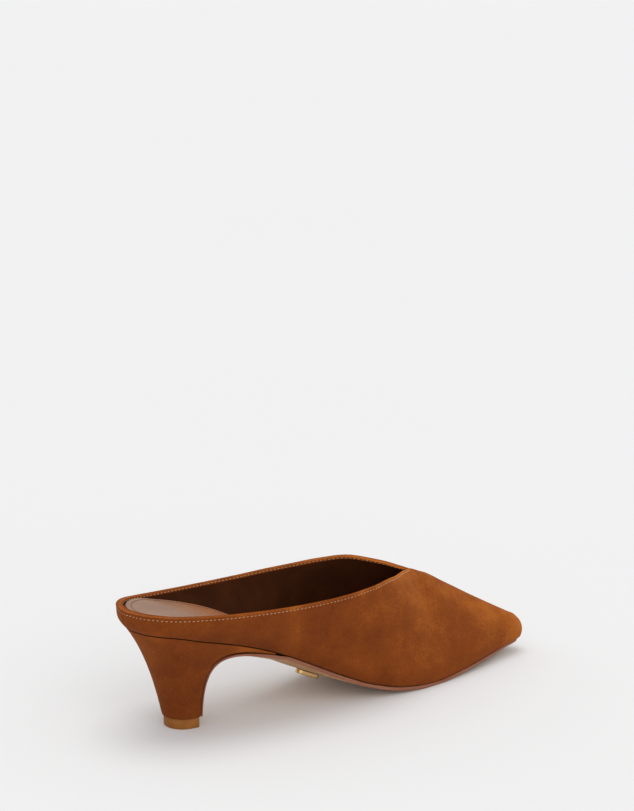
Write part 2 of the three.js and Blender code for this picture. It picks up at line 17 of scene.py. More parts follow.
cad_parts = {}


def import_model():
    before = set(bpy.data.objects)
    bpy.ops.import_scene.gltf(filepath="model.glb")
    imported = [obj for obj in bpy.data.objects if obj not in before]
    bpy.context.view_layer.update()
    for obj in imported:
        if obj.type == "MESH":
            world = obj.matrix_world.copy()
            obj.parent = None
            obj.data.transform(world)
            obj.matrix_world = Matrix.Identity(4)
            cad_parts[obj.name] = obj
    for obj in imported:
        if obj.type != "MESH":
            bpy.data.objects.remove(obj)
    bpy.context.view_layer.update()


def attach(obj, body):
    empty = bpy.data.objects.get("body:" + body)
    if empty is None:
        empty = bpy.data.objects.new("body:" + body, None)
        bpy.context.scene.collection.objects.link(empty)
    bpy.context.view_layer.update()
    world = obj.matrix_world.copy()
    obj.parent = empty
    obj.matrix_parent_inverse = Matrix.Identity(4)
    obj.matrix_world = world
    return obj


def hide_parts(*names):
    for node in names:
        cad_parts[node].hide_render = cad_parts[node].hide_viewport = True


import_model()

# Sizes of the solids, in millimetres
LENGTH = 260
BALL_WIDTH = 68
COLLAR_WIDTH = 63.5
SEAT_HEIGHT = 54.2
UPPER_HEIGHT = 56
WALL = 1.7
RIM_ROUND = 0.45
ROLL_THICK = 2.0
ROLL_REACH = 0.3
ROLL_RISE = 0.7
GAP = 0.3
BALL_SOLE = 1.8
FLAP_SOLE = 0.7
FLAP_GAP = 0.6
BALL_FLAT = 0.25
TOE_INSET = 1.5
SIDE_INSET = 0.2
TOE_SHARE = 0.14
WAIST_CROWN = 5.2
BED_CROWN = 0.6
INSOLE_BALL = 3.2
INSOLE_SEAT = 9.2
SOCK = 1.5
SOCK_INSET = 1.2
SOCK_TOE = 8
HEEL_FRONT = 80
HEEL_TIP = 0.5
WEDGE_SHARE = 0.6
HEEL_INSET = 0.2
TOP_PIECE_HEIGHT = 5.6
TOP_PIECE_WIDTH = 20.6
TOP_PIECE_LENGTH = 14.4
TOP_PIECE_BACK = 25.4
TOP_PIECE_INSET = 1.0
BREAST_HOLLOW = 1.2
BREAST_HOLLOW_SHARE = 0.6
BREAST_CROWN_SHARE = 0.45
PLATE_LENGTH = 15
PLATE_WIDTH = 5.4
PLATE_THICK = 2.2
PLATE_ROUND = 0.6
PLATE_AT = 112
PLATE_SIDE = -3
BLEND = 9

# Sizes of the dressing, in millimetres
LINING = 0.5  # thickness of the lining leather
LINING_ROOM = 0.04  # room between it and the suede
LINING_EDGE = 1.9  # the lining starts this far below the collar's edge
LINING_FOLD = 0.2  # its folds stand out no further than this
STITCH_DOWN = 1.7  # collar stitches below the edge, on the outside
INNER_STITCH_DOWN = 1.0  # and on the inside
STITCH_PITCH = 2.35
STITCH_LENGTH = 1.45
STITCH_THICK = 0.38
STITCH_SINK = 0.20  # the outer stitches lie this deep in their groove
LINING_SINK = 0.05  # and the inner ones this far out from the lining's face
STITCH_DIP = 0.28  # a stitch's ends lie this much deeper than its middle
STITCH_SLANT = 8  # degrees
GROOVE = 0.20  # groove under the collar stitches
PUCKER = 0.12  # how much deeper it is at each stitch
FOLD_SWELL = 0.10  # swell of the folded edge above them
SEAM = 0.32  # depth of the centre-back seam
BACK_SWELL = 0.16  # uneven swell of the collar round the heel
WALL_SWELL = 0.05  # and of the whole wall
RIM_SWELL = 0.35  # share by which the rim's height varies round the heel
TUCK = 0.55  # how far the suede turns under at the feather line
TUCK_TALL = 1.5  # over this height
RIDGE_ROUND = 2.6  # softness of the ridge of the vamp
RIDGE_STEP = 0.5  # steps in which it is softened
RIDGE_REACH = 16  # and how many of them on each side
HEEL_SWELL = 0.04  # uneven swell of the heel cover
LIFT_ROUND = 0.35  # radius round the top piece's edges
SOLE_ROUND = 0.45  # radius round the outsole's edges
INSOLE_ROUND = 0.4
SOCK_ROUND = 0.6
SOCK_STITCH_IN = 3.0  # sock stitches inside the sock's edge
SOCK_STITCH_PITCH = 2.4
SOCK_STITCH_LENGTH = 1.6
SOCK_GROOVE = 0.22
SOCK_SWELL = 0.10
SOCK_STITCH_END = 0.62  # the sock stitches end at this share of LENGTH, out of sight
PLATE_EASE = 0.7  # radius round the plate's lower edge

RIB_COLUMNS = (
    "at", "inner", "outer", "lift", "topAt", "topHalf", "drift",
    "riseInner", "riseOuter", "flare", "fall", "turn", "belly", "crown",
)
# Ribs of the upper, from the middle of the back to the toe tip, as in the solids
RIBS = np.array([
    [0.018, 0.000, 0.000, 1.010, 0.002, 0.000, 0.000, 0.203, 0.203, 42, 92, 180, 0.42, 0.34],
    [0.025, 0.148, 0.148, 1.011, 0.010, 0.157, 0.000, 0.204, 0.198, 42, 92, 160, 0.42, 0.34],
    [0.044, 0.262, 0.262, 1.006, 0.031, 0.294, 0.000, 0.208, 0.192, 42, 92, 137, 0.42, 0.34],
    [0.078, 0.322, 0.322, 0.981, 0.065, 0.390, 0.000, 0.220, 0.196, 43, 92, 115, 0.42, 0.34],
    [0.127, 0.338, 0.340, 0.915, 0.117, 0.444, 0.000, 0.265, 0.238, 45, 92, 100, 0.42, 0.34],
    [0.190, 0.333, 0.341, 0.834, 0.182, 0.474, 0.000, 0.320, 0.303, 49, 91, 94, 0.40, 0.34],
    [0.260, 0.328, 0.342, 0.728, 0.254, 0.492, 0.002, 0.404, 0.400, 54, 90, 91, 0.38, 0.34],
    [0.330, 0.322, 0.346, 0.590, 0.330, 0.500, 0.004, 0.524, 0.535, 60, 88, 90, 0.36, 0.33],
    [0.400, 0.332, 0.374, 0.425, 0.403, 0.495, 0.006, 0.680, 0.706, 66, 85, 89, 0.34, 0.32],
    [0.468, 0.359, 0.430, 0.262, 0.473, 0.470, 0.009, 0.841, 0.877, 71, 79, 88, 0.32, 0.31],
    [0.536, 0.394, 0.500, 0.125, 0.540, 0.414, 0.014, 0.984, 1.031, 75, 69, 87, 0.30, 0.30],
    [0.602, 0.414, 0.562, 0.042, 0.604, 0.298, 0.022, 1.062, 1.118, 77, 53, 86, 0.28, 0.28],
    [0.650, 0.412, 0.587, 0.012, 0.656, 0.148, 0.038, 1.056, 1.091, 78, 36, 86, 0.27, 0.26],
    [0.682, 0.398, 0.584, 0.002, 0.690, 0.043, 0.056, 1.028, 1.044, 78, 24, 87, 0.26, 0.24],
    [0.704, 0.386, 0.572, 0.000, 0.706, 0.000, 0.062, 1.017, 1.017, 78, 20, 88, 0.26, 0.23],
    [0.748, 0.354, 0.529, 0.013, 0.746, 0.000, 0.062, 0.947, 0.947, 78, 18, 90, 0.26, 0.23],
    [0.798, 0.309, 0.456, 0.036, 0.790, 0.000, 0.056, 0.808, 0.808, 77, 17, 90, 0.26, 0.24],
    [0.850, 0.252, 0.353, 0.062, 0.838, 0.000, 0.044, 0.653, 0.653, 75, 17, 88, 0.27, 0.25],
    [0.900, 0.182, 0.243, 0.077, 0.884, 0.000, 0.028, 0.516, 0.516, 72, 19, 82, 0.29, 0.27],
    [0.940, 0.128, 0.151, 0.086, 0.920, 0.000, 0.014, 0.416, 0.416, 69, 24, 78, 0.33, 0.32],
    [0.968, 0.092, 0.100, 0.089, 0.944, 0.000, 0.005, 0.352, 0.352, 66, 30, 66, 0.36, 0.38],
    [0.982, 0.065, 0.067, 0.090, 0.960, 0.000, 0.001, 0.309, 0.309, 63, 34, 48, 0.39, 0.43],
    [0.989, 0.041, 0.041, 0.091, 0.970, 0.000, 0.000, 0.283, 0.283, 61, 35, 27, 0.41, 0.45],
    [0.992, 0.000, 0.000, 0.091, 0.974, 0.000, 0.000, 0.269, 0.269, 60, 35, 0, 0.42, 0.46],
])
THROAT_ROW = 14
ODD_COLUMNS = ("inner", "outer", "topHalf")
# Tables along the shoe: share of LENGTH, and share of the size that each is used with
CROWNS = [
    [0.00, 0.16], [0.20, 0.26], [0.30, 0.72], [0.36, 0.92], [0.46, 0.70], [0.56, 0.36],
    [0.64, 0.07], [0.70, 0.00], [0.84, 0.02], [1.00, 0.03],
]
INSOLE_DEPTHS = [
    [0.00, 0.86], [0.05, 0.89], [0.12, 0.93], [0.22, 0.82], [0.34, 0.40], [0.46, 0.16],
    [0.58, 0.04], [0.68, 0.00], [1.00, 0.00],
]
SOLE_DEPTHS = [
    [0.00, 0.94], [0.40, 0.94], [0.52, 0.97], [0.64, 1.00], [0.76, 0.92], [0.88, 0.76],
    [1.00, 0.66],
]
HEEL_FAN = [
    [0.00, 0.00, 0.00], [0.45, 0.34, 0.68], [0.66, 0.54, 0.86], [1.00, 1.00, 1.00],
]
BACK_LINE = {"leaveIn": 0.46, "leaveDown": 0.24, "arriveIn": 0.24, "arriveUp": 0.44}
BREAST_LINE = {
    "leaveRun": 0.78, "leaveSlope": 0.68, "arriveRise": 1.08, "leaveNarrow": 0.90,
    "arriveWiden": 1.18,
}

STEPS_PER_RIB = 12
DS = 0.002  # small step along the feather line
DT = 0.01  # and up a rib
SIDES = (-1, 1)
TOP_PIECE_CENTRE = TOP_PIECE_BACK + TOP_PIECE_LENGTH / 2
HEEL_BOTTOM = TOP_PIECE_HEIGHT + GAP


class Through:
    """Curve through (x, y) pairs that never overshoots. A sign mirrors the row past that end."""

    def __init__(self, xs, ys, start_sign=0, end_sign=0):
        x = list(xs)
        y = list(ys)
        if start_sign:
            x.insert(0, 2 * xs[0] - xs[1])
            y.insert(0, start_sign * ys[1])
        if end_sign:
            x.append(2 * xs[-1] - xs[-2])
            y.append(end_sign * ys[-2])
        self.x = np.array(x, float)
        self.y = np.array(y, float)
        self.h = np.diff(self.x)
        d = np.diff(self.y) / self.h
        m = [d[0]]
        for i in range(1, len(d)):
            near = 2 * self.h[i] + self.h[i - 1]
            far = self.h[i] + 2 * self.h[i - 1]
            flat = d[i - 1] * d[i] <= 0
            m.append(0 if flat else (near + far) / (near / d[i - 1] + far / d[i]))
        self.m = np.array([*m, d[-1]])

    def __call__(self, at):
        at = np.asarray(at, float)
        i = np.clip(np.searchsorted(self.x, at) - 1, 0, len(self.h) - 1)
        t = np.clip((at - self.x[i]) / self.h[i], 0, 1)
        u = 1 - t
        ends = (1 + 2 * t) * u * u * self.y[i] + t * t * (3 - 2 * t) * self.y[i + 1]
        return ends + self.h[i] * t * u * (u * self.m[i] - t * self.m[i + 1])


def smooth(x):
    x = np.clip(x, 0, 1)
    return x * x * (3 - 2 * x)


def lerp(a, b, k):
    return a + (b - a) * k


def length_of(v):
    return np.linalg.norm(v, axis=-1, keepdims=True)


def unit(v):
    return v / length_of(v)


def bell(x, middle, width):
    return np.exp(-(((x - middle) / width) ** 2))


def points_at(where, along, path):
    """Points of a path at distances along it."""
    return np.stack([np.interp(where, along, axis) for axis in path.T], axis=1)


def run_along(path):
    """Distance along a path to each of its points."""
    return np.concatenate([[0], np.cumsum(length_of(np.diff(path, axis=0))[:, 0])])


def xyz(x, y, z):
    return np.stack(np.broadcast_arrays(x, y, z), axis=-1).astype(float)


UP = np.array([0.0, 0.0, 1.0])


def rib_places():
    plan = RIBS[:, :2] * (LENGTH, BALL_WIDTH)
    along = np.concatenate([[0], np.cumsum(np.hypot(*np.diff(plan, axis=0).T))])
    return along / along[-1]


PLACES = rib_places()
THROAT = PLACES[THROAT_ROW]
column = {}
for k, title in enumerate(RIB_COLUMNS):
    sign = -1 if title in ODD_COLUMNS else 1
    rows = THROAT_ROW + 1 if title == "topHalf" else len(RIBS)
    column[title] = Through(PLACES[:rows], RIBS[:rows, k], sign, sign)


def by_sections(table):
    return Through([row[0] * LENGTH for row in table], [row[1] for row in table])


crown_share = by_sections(CROWNS)
insole_share = by_sections(INSOLE_DEPTHS)
sole_share = by_sections(SOLE_DEPTHS)
FEATHER_BASE = BALL_SOLE + GAP
feather_height = Through(RIBS[:, 0] * LENGTH, FEATHER_BASE + RIBS[:, 3] * SEAT_HEIGHT)


def spans(per_rib):
    parts = [np.linspace(a, b, per_rib, endpoint=False) for a, b in zip(PLACES, PLACES[1:])]
    return np.concatenate([*parts, [1.0]])


# Surfaces of the solids. Arrays of s have one value a column, arrays of t a row of values a column.

def foot(s, side):
    half = column["inner" if side < 0 else "outer"](s) * BALL_WIDTH
    height = FEATHER_BASE + column["lift"](s) * SEAT_HEIGHT
    return xyz(column["at"](s) * LENGTH, side * half, height)


def foot_out(s, side):
    s = np.asarray(s, float)
    a = foot(np.maximum(0, s - DS), side)
    b = foot(np.minimum(1, s + DS), side)
    out = unit(xyz(side * (a - b)[..., 1], side * (b - a)[..., 0], 0))
    out[s == 0] = (-1, 0, 0)
    out[s == 1] = (1, 0, 0)
    return out


def rib_top(s, side):
    past = s >= THROAT
    half = np.where(past, 0, column["topHalf"](np.minimum(s, THROAT)) * COLLAR_WIDTH)
    rise = np.where(past | (side < 0), column["riseInner"](s), column["riseOuter"](s))
    y = column["drift"](s) * BALL_WIDTH + side * half
    return xyz(column["topAt"](s) * LENGTH, y, foot(s, side)[..., 2] + rise * UPPER_HEIGHT)


def rib(s, side):
    a = foot(s, side)
    d = rib_top(s, side)
    chord = length_of(d - a)
    flare, fall, turn = (np.radians(column[c](s))[..., None] for c in ("flare", "fall", "turn"))
    leave = foot_out(s, side) * np.cos(flare) + UP * np.sin(flare)
    face = np.concatenate([np.cos(turn), side * np.sin(turn), 0 * turn], axis=-1)
    arrive = face * np.cos(fall) - UP * np.sin(fall)
    b = a + leave * column["belly"](s)[..., None] * chord
    c = d + arrive * column["crown"](s)[..., None] * chord
    return a, b, c, d


def on_curve(points, t):
    a, b, c, d = (p[:, None, :] for p in points)
    t = np.asarray(t, float)
    t = (t if t.ndim == 2 else t[None, :])[..., None]
    u = 1 - t
    return u**3 * a + 3 * u * u * t * b + 3 * u * t * t * c + t**3 * d


def skin(s, side, t):
    return on_curve(rib(s, side), t)


def grid_t(s, t):
    t = np.asarray(t, float)
    return np.broadcast_to(t if t.ndim == 2 else t[None, :], (len(s), t.shape[-1]))


def facing(s, side, t):
    t = grid_t(s, t)
    along = skin(np.minimum(1, s + DS), side, t) - skin(np.maximum(0, s - DS), side, t)
    for end in (0, 1):
        along[s == end] = (0, side * (1 - 2 * end), 0)
    up = skin(s, side, np.minimum(1, t + DT)) - skin(s, side, np.maximum(0, t - DT))
    return unit(side * np.cross(up, along))


def skin_out(s, side, t):
    t = grid_t(s, t)
    out = facing(s, side, t)
    both = facing(s, -side, t) + out
    mitre = both / np.sum(both * out, axis=-1, keepdims=True)
    middle = ((s == 0) | (s == 1))[:, None] | ((t == 1) & (s >= THROAT)[:, None])
    return np.where(middle[..., None], mitre, out)


def wall_depth(s, t):
    round_back = 1 - smooth(s / ROLL_REACH)
    up = smooth((grid_t(s, t) - 1 + ROLL_RISE) / ROLL_RISE)
    return WALL + ROLL_THICK * round_back[:, None] * up


def lining_rib(s, side, clearance):
    v0, v1, v2, v3 = rib(s, side)

    def inset(point, t):
        out = skin_out(s, side, [t])[:, 0]
        return point - out * (wall_depth(s, [t]) + clearance)

    level = (WALL + clearance) / np.sin(np.radians(column["flare"](s)))[:, None]
    start = v0 - foot_out(s, side) * level
    return start, inset(v1, 1 / 3), inset(v2, 2 / 3), inset(v3, 1)


def lining(s, side, t, clearance=0.0):
    return on_curve(lining_rib(s, side, clearance), t)


def beside_wall(s, side, height, clearance):
    """Point beside the inner face at each column's height."""
    t = np.linspace(0, 1, 41)
    points = lining(s, side, t, clearance)
    z = points[..., 2]
    above = z >= height[:, None]
    k = np.where(above.any(axis=1), np.argmax(above, axis=1), len(t) - 1)
    k = np.maximum(k, 1)
    i = np.arange(len(s))
    share = (height - z[i, k - 1]) / (z[i, k] - z[i, k - 1])
    return lerp(points[i, k - 1], points[i, k], np.minimum(1, share)[:, None])


def bottom_height(x, w):
    return feather_height(x) - WAIST_CROWN * crown_share(x) * (1 - w * w)


def across_rows(start, end, height, count):
    k = np.linspace(0, 1, count + 1)[None, :, None]
    rows = lerp(start[:, None, :], end[:, None, :], k)
    rows[..., 2] = height(rows[..., 0], 2 * k[..., 0] - 1)
    return rows


def bed_height(x, w, above):
    crown = (feather_height(x) - bottom_height(x, w)) * BED_CROWN
    return feather_height(x) - crown + lerp(INSOLE_BALL, INSOLE_SEAT, insole_share(x)) + above


def bed_edges(s, above, inset):
    for side in SIDES:
        x = foot(s, side)[:, 0]
        yield beside_wall(s, side, bed_height(x, side, above), GAP + inset)


def bed_rows(s, above, inset, count):
    return across_rows(*bed_edges(s, above, inset), lambda x, w: bed_height(x, w, above), count)


def top_piece_point(share, side, margin):
    radius = TOP_PIECE_WIDTH / 2 + margin
    straight = max(0, TOP_PIECE_LENGTH - TOP_PIECE_WIDTH / 2)
    arc = radius * math.pi / 2
    run = np.asarray(share, float) * (arc + straight)
    angle = np.minimum(run / radius, math.pi / 2)
    beyond = np.maximum(0, run - arc)
    centre = TOP_PIECE_BACK + TOP_PIECE_WIDTH / 2
    return xyz(centre - radius * np.cos(angle) + beyond, side * radius * np.sin(angle), 0)


def share_at(x):
    s = np.linspace(0, 1, 4001)
    return float(np.interp(x, column["at"](s) * LENGTH, s))


FRONT_SHARE = share_at(HEEL_FRONT)
seat_fan = Through([r[0] for r in HEEL_FAN], [r[1] for r in HEEL_FAN])
foot_fan = Through([r[0] for r in HEEL_FAN], [r[2] for r in HEEL_FAN])


def seat_point(q, side):
    s = seat_fan(q) * FRONT_SHARE
    p = foot(s, side) - foot_out(s, side) * HEEL_INSET
    p[..., 2] = feather_height(p[..., 0]) - GAP
    return p


def heel_line(q, side):
    """Curves of the heel's side from the seat down to the top piece."""
    a = seat_point(q, side)
    d = top_piece_point(foot_fan(q), side, TOP_PIECE_INSET)
    d[..., 2] = HEEL_BOTTOM
    way = d - a
    wedge = smooth((seat_fan(q) - 1 + WEDGE_SHARE) / WEDGE_SHARE)
    start = a - UP * (HEEL_TIP * wedge)[..., None]
    slope = (feather_height(HEEL_FRONT) - feather_height(HEEL_FRONT - BLEND)) / BLEND
    run = (HEEL_FRONT - TOP_PIECE_BACK - TOP_PIECE_LENGTH) * BREAST_LINE["leaveRun"]
    rise = (feather_height(HEEL_FRONT) - HEEL_BOTTOM) * BREAST_LINE["arriveRise"]
    leave_in, leave_down = BACK_LINE["leaveIn"], BACK_LINE["leaveDown"]
    arrive_in, arrive_up = BACK_LINE["arriveIn"], BACK_LINE["arriveUp"]
    x, y, z = np.moveaxis(start, -1, 0)
    b = xyz(
        x + lerp(leave_in * way[..., 0], -run, wedge),
        lerp(y + leave_in * way[..., 1], y * BREAST_LINE["leaveNarrow"], wedge),
        z + lerp(leave_down * way[..., 2], -run * slope * BREAST_LINE["leaveSlope"], wedge),
    )
    c = xyz(
        d[..., 0] - lerp(arrive_in * way[..., 0], 0, wedge),
        lerp(d[..., 1] - arrive_in * way[..., 1], d[..., 1] * BREAST_LINE["arriveWiden"], wedge),
        d[..., 2] + lerp(-arrive_up * way[..., 2], rise, wedge),
    )
    return start, b, c, d


def curve_tangent(points, t):
    a, b, c, d = (p[:, None, :] for p in points)
    t = np.asarray(t, float)[None, :, None]
    u = 1 - t
    return unit(u * u * (b - a) + 2 * u * t * (c - b) + t * t * (d - c))


def breast_rows(v, lift, count):
    lines = [heel_line(np.array([1.0]), side) for side in SIDES]
    ends = [on_curve(line, v)[0] for line in lines]
    tangent = sum(curve_tangent(line, v)[0] for line in lines)
    out = unit(xyz(-tangent[:, 2], 0, tangent[:, 0]))
    crown = WAIST_CROWN * crown_share(HEEL_FRONT) * (1 - smooth(v / BREAST_CROWN_SHARE))
    hollow = BREAST_HOLLOW * np.sin(math.pi * v) * smooth(v / BREAST_HOLLOW_SHARE)
    k = np.linspace(0, 1, count + 1)
    swell = (crown - hollow)[:, None] * (1 - (2 * k - 1) ** 2)[None, :]
    rows = lerp(ends[0][:, None, :], ends[1][:, None, :], k[None, :, None])
    return rows + out[:, None, :] * (swell + lift)[..., None]


def sole_thickness(x):
    on_flap = 1 - smooth((x - TOP_PIECE_CENTRE) / (HEEL_FRONT - TOP_PIECE_CENTRE))
    return lerp(BALL_SOLE * sole_share(x), FLAP_SOLE, on_flap)


# Meshes

def place(points):
    """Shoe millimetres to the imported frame's metres."""
    return (np.asarray(points, float) - (TOP_PIECE_CENTRE, 0, 0)) / 1000


def link(name, mesh, looks, sharp=None):
    for look in looks:
        mesh.materials.append(look)
    mesh.shade_smooth()
    if sharp:
        mesh.set_sharp_from_angle(angle=math.radians(sharp))
    piece = bpy.data.objects.new(name, mesh)
    bpy.context.scene.collection.objects.link(piece)
    return piece


def grid_mesh(name, grids, looks, sharp=None):
    """One closed mesh from grids (points, closed, look) whose shared border points are welded."""
    places = np.concatenate([np.asarray(g[0]).reshape(-1, 3) for g in grids])
    keys = np.round(places * 2000).astype(np.int64)
    _, first, ids = np.unique(keys, axis=0, return_index=True, return_inverse=True)
    ids = ids.reshape(-1)
    faces = []
    slots = []
    start = 0
    for points, closed, look in grids:
        n, m = points.shape[:2]
        grid = ids[start:start + n * m].reshape(n, m)
        start += n * m
        if closed:
            grid = np.concatenate([grid, grid[:1]])
        quads = np.stack([grid[:-1, :-1], grid[1:, :-1], grid[1:, 1:], grid[:-1, 1:]], axis=-1)
        look = np.broadcast_to(look, quads.shape[:2])
        for quad, which in zip(quads.reshape(-1, 4).tolist(), look.reshape(-1).tolist()):
            face = [v for j, v in enumerate(quad) if v not in quad[:j]]
            if len(face) > 2:
                faces.append(face)
                slots.append(which)
    mesh = bpy.data.meshes.new(name)
    mesh.from_pydata(place(places[first]), [], faces)
    mesh.polygons.foreach_set("material_index", slots)
    face_out(mesh)
    return link(name, mesh, looks, sharp)


def face_out(mesh):
    bm = bmesh.new()
    bm.from_mesh(mesh)
    bmesh.ops.recalc_face_normals(bm, faces=bm.faces)
    bm.to_mesh(mesh)
    bm.free()


def ring(inner, outer):
    """Both halves' columns as one loop round the shoe."""
    return np.concatenate([inner[::-1], outer[1:-1]])


def round_back(inner, outer):
    """Both halves' columns as one run round the back of the shoe."""
    return np.concatenate([inner[::-1], outer[1:]])


def relaxed(loop):
    """A closed loop with its corners eased."""
    for _ in range(3):
        loop = (np.roll(loop, 1, axis=0) + 2 * loop + np.roll(loop, -1, axis=0)) / 4
    return loop


def distances(points, spots):
    """Distance from each point to the nearest spot."""
    tree = KDTree(len(spots))
    for i, spot in enumerate(spots):
        tree.insert(spot, i)
    tree.balance()
    return np.array([tree.find(point)[2] for point in points])


def rounded_loop(top, bottom, radius, steps=3):
    """Closed profiles round slabs: across the top, round the edge, back under and round again.

    Also marks the profile's faces that lie underneath.
    """
    across = unit(top[:, -1] - top[:, 0] + (0, 1e-9, 0))
    width = length_of(top[:, -1] - top[:, 0])
    down = bottom[:, 0] - top[:, 0]
    thick = length_of(down)
    down = down / thick
    r = np.minimum(np.minimum(radius, 0.45 * thick), 0.3 * width)

    def corner(point, sideways, upright, flip):
        centre = point - r * sideways - r * upright
        angles = np.linspace(0, math.pi / 2, steps + 1)
        angles = angles[::-1] if flip else angles
        return [centre + r * (sideways * math.sin(a) + upright * math.cos(a)) for a in angles]

    outer = corner(top[:, -1], across, -down, False) + corner(bottom[:, -1], across, down, True)
    inner = corner(bottom[:, 0], -across, down, False) + corner(top[:, 0], -across, -down, True)
    outer, inner = np.stack(outer, axis=1), np.stack(inner, axis=1)
    loop = np.concatenate([top[:, 1:-1], outer, bottom[:, -2:0:-1], inner, top[:, 1:2]], axis=1)
    first = top.shape[1] - 2 + outer.shape[1] - 1
    under = np.zeros(loop.shape[1] - 1, int)
    under[first:first + bottom.shape[1] - 1] = 1
    return loop, under


def end_cap(loop):
    """Fills one profile with rows that join the points across it."""
    points = loop[:-1]
    half = len(points) // 2
    return np.stack([points[:half], points[::-1][:half]], axis=1)


# Materials

def srgb(r, g, b):
    def linear(c):
        c /= 255
        return c / 12.92 if c <= 0.04045 else ((c + 0.055) / 1.055) ** 2.4
    return (linear(r), linear(g), linear(b), 1.0)


class Look:
    """A Principled material with helpers for its procedural colour and bump."""

    def __init__(self, name, **sockets):
        self.material = bpy.data.materials.new(name)
        self.material.use_nodes = True
        self.tree = self.material.node_tree
        self.shader = self.tree.nodes["Principled BSDF"]
        for title, value in sockets.items():
            self.shader.inputs[title.replace("_", " ")].default_value = value
        self.place = self.tree.nodes.new("ShaderNodeTexCoord").outputs["Object"]
        self.height = None

    def feed(self, socket, value):
        if isinstance(value, bpy.types.NodeSocket):
            self.tree.links.new(value, socket)
        else:
            socket.default_value = value

    def node(self, kind, **values):
        node = self.tree.nodes.new(kind)
        for title, value in values.items():
            self.feed(node.inputs[title.replace("_", " ")], value)
        return node

    def stretched(self, x, y, z):
        node = self.node("ShaderNodeMapping", Vector=self.place, Scale=(x, y, z))
        return node.outputs["Vector"]

    def noise(self, size_mm, detail=2.0, roughness=0.5, distortion=0.0, vector=None):
        node = self.node(
            "ShaderNodeTexNoise", Vector=vector or self.place, Scale=1000 / size_mm, Detail=detail,
            Roughness=roughness, Distortion=distortion,
        )
        return node.outputs["Fac"]

    def cells(self, size_mm):
        node = self.node("ShaderNodeTexVoronoi", Vector=self.place, Scale=1000 / size_mm)
        return node.outputs["Distance"]

    def attribute(self, name):
        node = self.tree.nodes.new("ShaderNodeAttribute")
        node.attribute_name = name
        return node.outputs["Fac"]

    def math(self, operation, a, b):
        node = self.tree.nodes.new("ShaderNodeMath")
        node.operation = operation
        self.feed(node.inputs[0], a)
        self.feed(node.inputs[1], b)
        return node.outputs[0]

    def spread(self, value, low, high, to_low=0.0, to_high=1.0):
        node = self.node(
            "ShaderNodeMapRange", Value=value, From_Min=low, From_Max=high, To_Min=to_low,
            To_Max=to_high,
        )
        return node.outputs["Result"]

    def mix(self, share, a, b):
        node = self.tree.nodes.new("ShaderNodeMix")
        node.data_type = "RGBA"
        for index, value in ((0, share), (6, a), (7, b)):  # the node's factor and its two colours
            self.feed(node.inputs[index], value)
        return node.outputs[2]

    def colour(self, value):
        self.tree.links.new(value, self.shader.inputs["Base Color"])

    def roughness(self, value):
        self.tree.links.new(value, self.shader.inputs["Roughness"])

    def bump(self, height, depth_mm, strength):
        depth = depth_mm / 1000
        node = self.node("ShaderNodeBump", Height=height, Strength=strength, Distance=depth)
        if self.height:
            self.tree.links.new(self.height, node.inputs["Normal"])
        self.height = node.outputs["Normal"]
        self.tree.links.new(self.height, self.shader.inputs["Normal"])


def suede_look(name, dark, mid, light):
    look = Look(
        name, Roughness=0.92, Sheen_Weight=0.2, Sheen_Roughness=0.45, Specular_IOR_Level=0.12
    )
    look.shader.inputs["Sheen Tint"].default_value = srgb(206, 130, 66)
    clouds = look.spread(look.noise(30, 3, 0.5, 0.4), 0.34, 0.68)
    patches = look.spread(look.noise(7.5, 3, 0.6, 0.2), 0.3, 0.72)
    nap = look.noise(0.9, 3, 0.7)
    fibre = look.noise(0.42, 2, 0.6)
    # tone from the pieces lightens and darkens the suede; on the upper it holds painted highlight
    # and painted shade
    share = look.attribute("tone")
    for part in (
        look.math("MULTIPLY", clouds, 0.34),
        look.math("MULTIPLY", patches, 0.16),
        look.spread(nap, 0.3, 0.7, 0.04, 0.34),
    ):
        share = look.math("ADD", share, part)
    base = look.mix(look.spread(share, 0.0, 0.55), dark, mid)
    base = look.mix(look.spread(share, 0.55, 1.1), base, light)
    look.colour(base)
    look.bump(nap, 0.16, 0.5)
    look.bump(fibre, 0.08, 0.4)
    return look.material


def lining_look():
    look = Look("lining_leather", Roughness=0.85, Specular_IOR_Level=0.1)
    clouds = look.spread(look.noise(22, 3, 0.55, 0.3), 0.35, 0.68)
    grain = look.cells(0.75)
    look.colour(look.mix(clouds, srgb(58, 28, 9), srgb(76, 39, 14)))
    look.bump(grain, 0.05, 0.5)
    look.bump(look.noise(5, 2, 0.5), 0.15, 0.35)
    return look.material


def sock_look():
    look = Look("sock_leather", Roughness=0.45, Specular_IOR_Level=0.3)
    clouds = look.spread(look.noise(17, 3, 0.55, 0.3), 0.34, 0.68)
    fine = look.spread(look.noise(1.6, 3, 0.6), 0.3, 0.72)
    base = look.mix(clouds, srgb(131, 94, 69), srgb(148, 110, 84))
    # painted light: tone turns the sock from taupe to orange-brown towards the front, for the light
    # and shade inside the shoe
    base = look.mix(look.attribute("tone"), base, srgb(176, 104, 56))
    look.colour(look.mix(look.math("MULTIPLY", fine, 0.3), base, srgb(172, 138, 114)))
    look.bump(look.cells(0.6), 0.05, 0.6)
    look.roughness(look.spread(fine, 0.0, 1.0, 0.38, 0.5))
    return look.material


def board_look():
    look = Look("insole_board", Roughness=0.85)
    fibres = look.noise(0.8, 3, 0.7, vector=look.stretched(0.4, 1, 1))
    look.colour(look.mix(look.spread(fibres, 0.3, 0.7), srgb(48, 27, 15), srgb(72, 43, 25)))
    look.bump(fibres, 0.08, 0.5)
    return look.material


def sole_edge_look():
    look = Look("sole_edge", Roughness=0.45, Specular_IOR_Level=0.4)
    layers = look.noise(0.5, 2, 0.5, vector=look.stretched(0.05, 0.05, 1))
    clouds = look.spread(look.noise(14, 2), 0.35, 0.65)
    base = look.mix(clouds, srgb(134, 80, 56), srgb(152, 96, 70))
    look.colour(look.mix(look.spread(layers, 0.35, 0.7), base, srgb(132, 76, 50)))
    look.bump(layers, 0.04, 0.4)
    return look.material


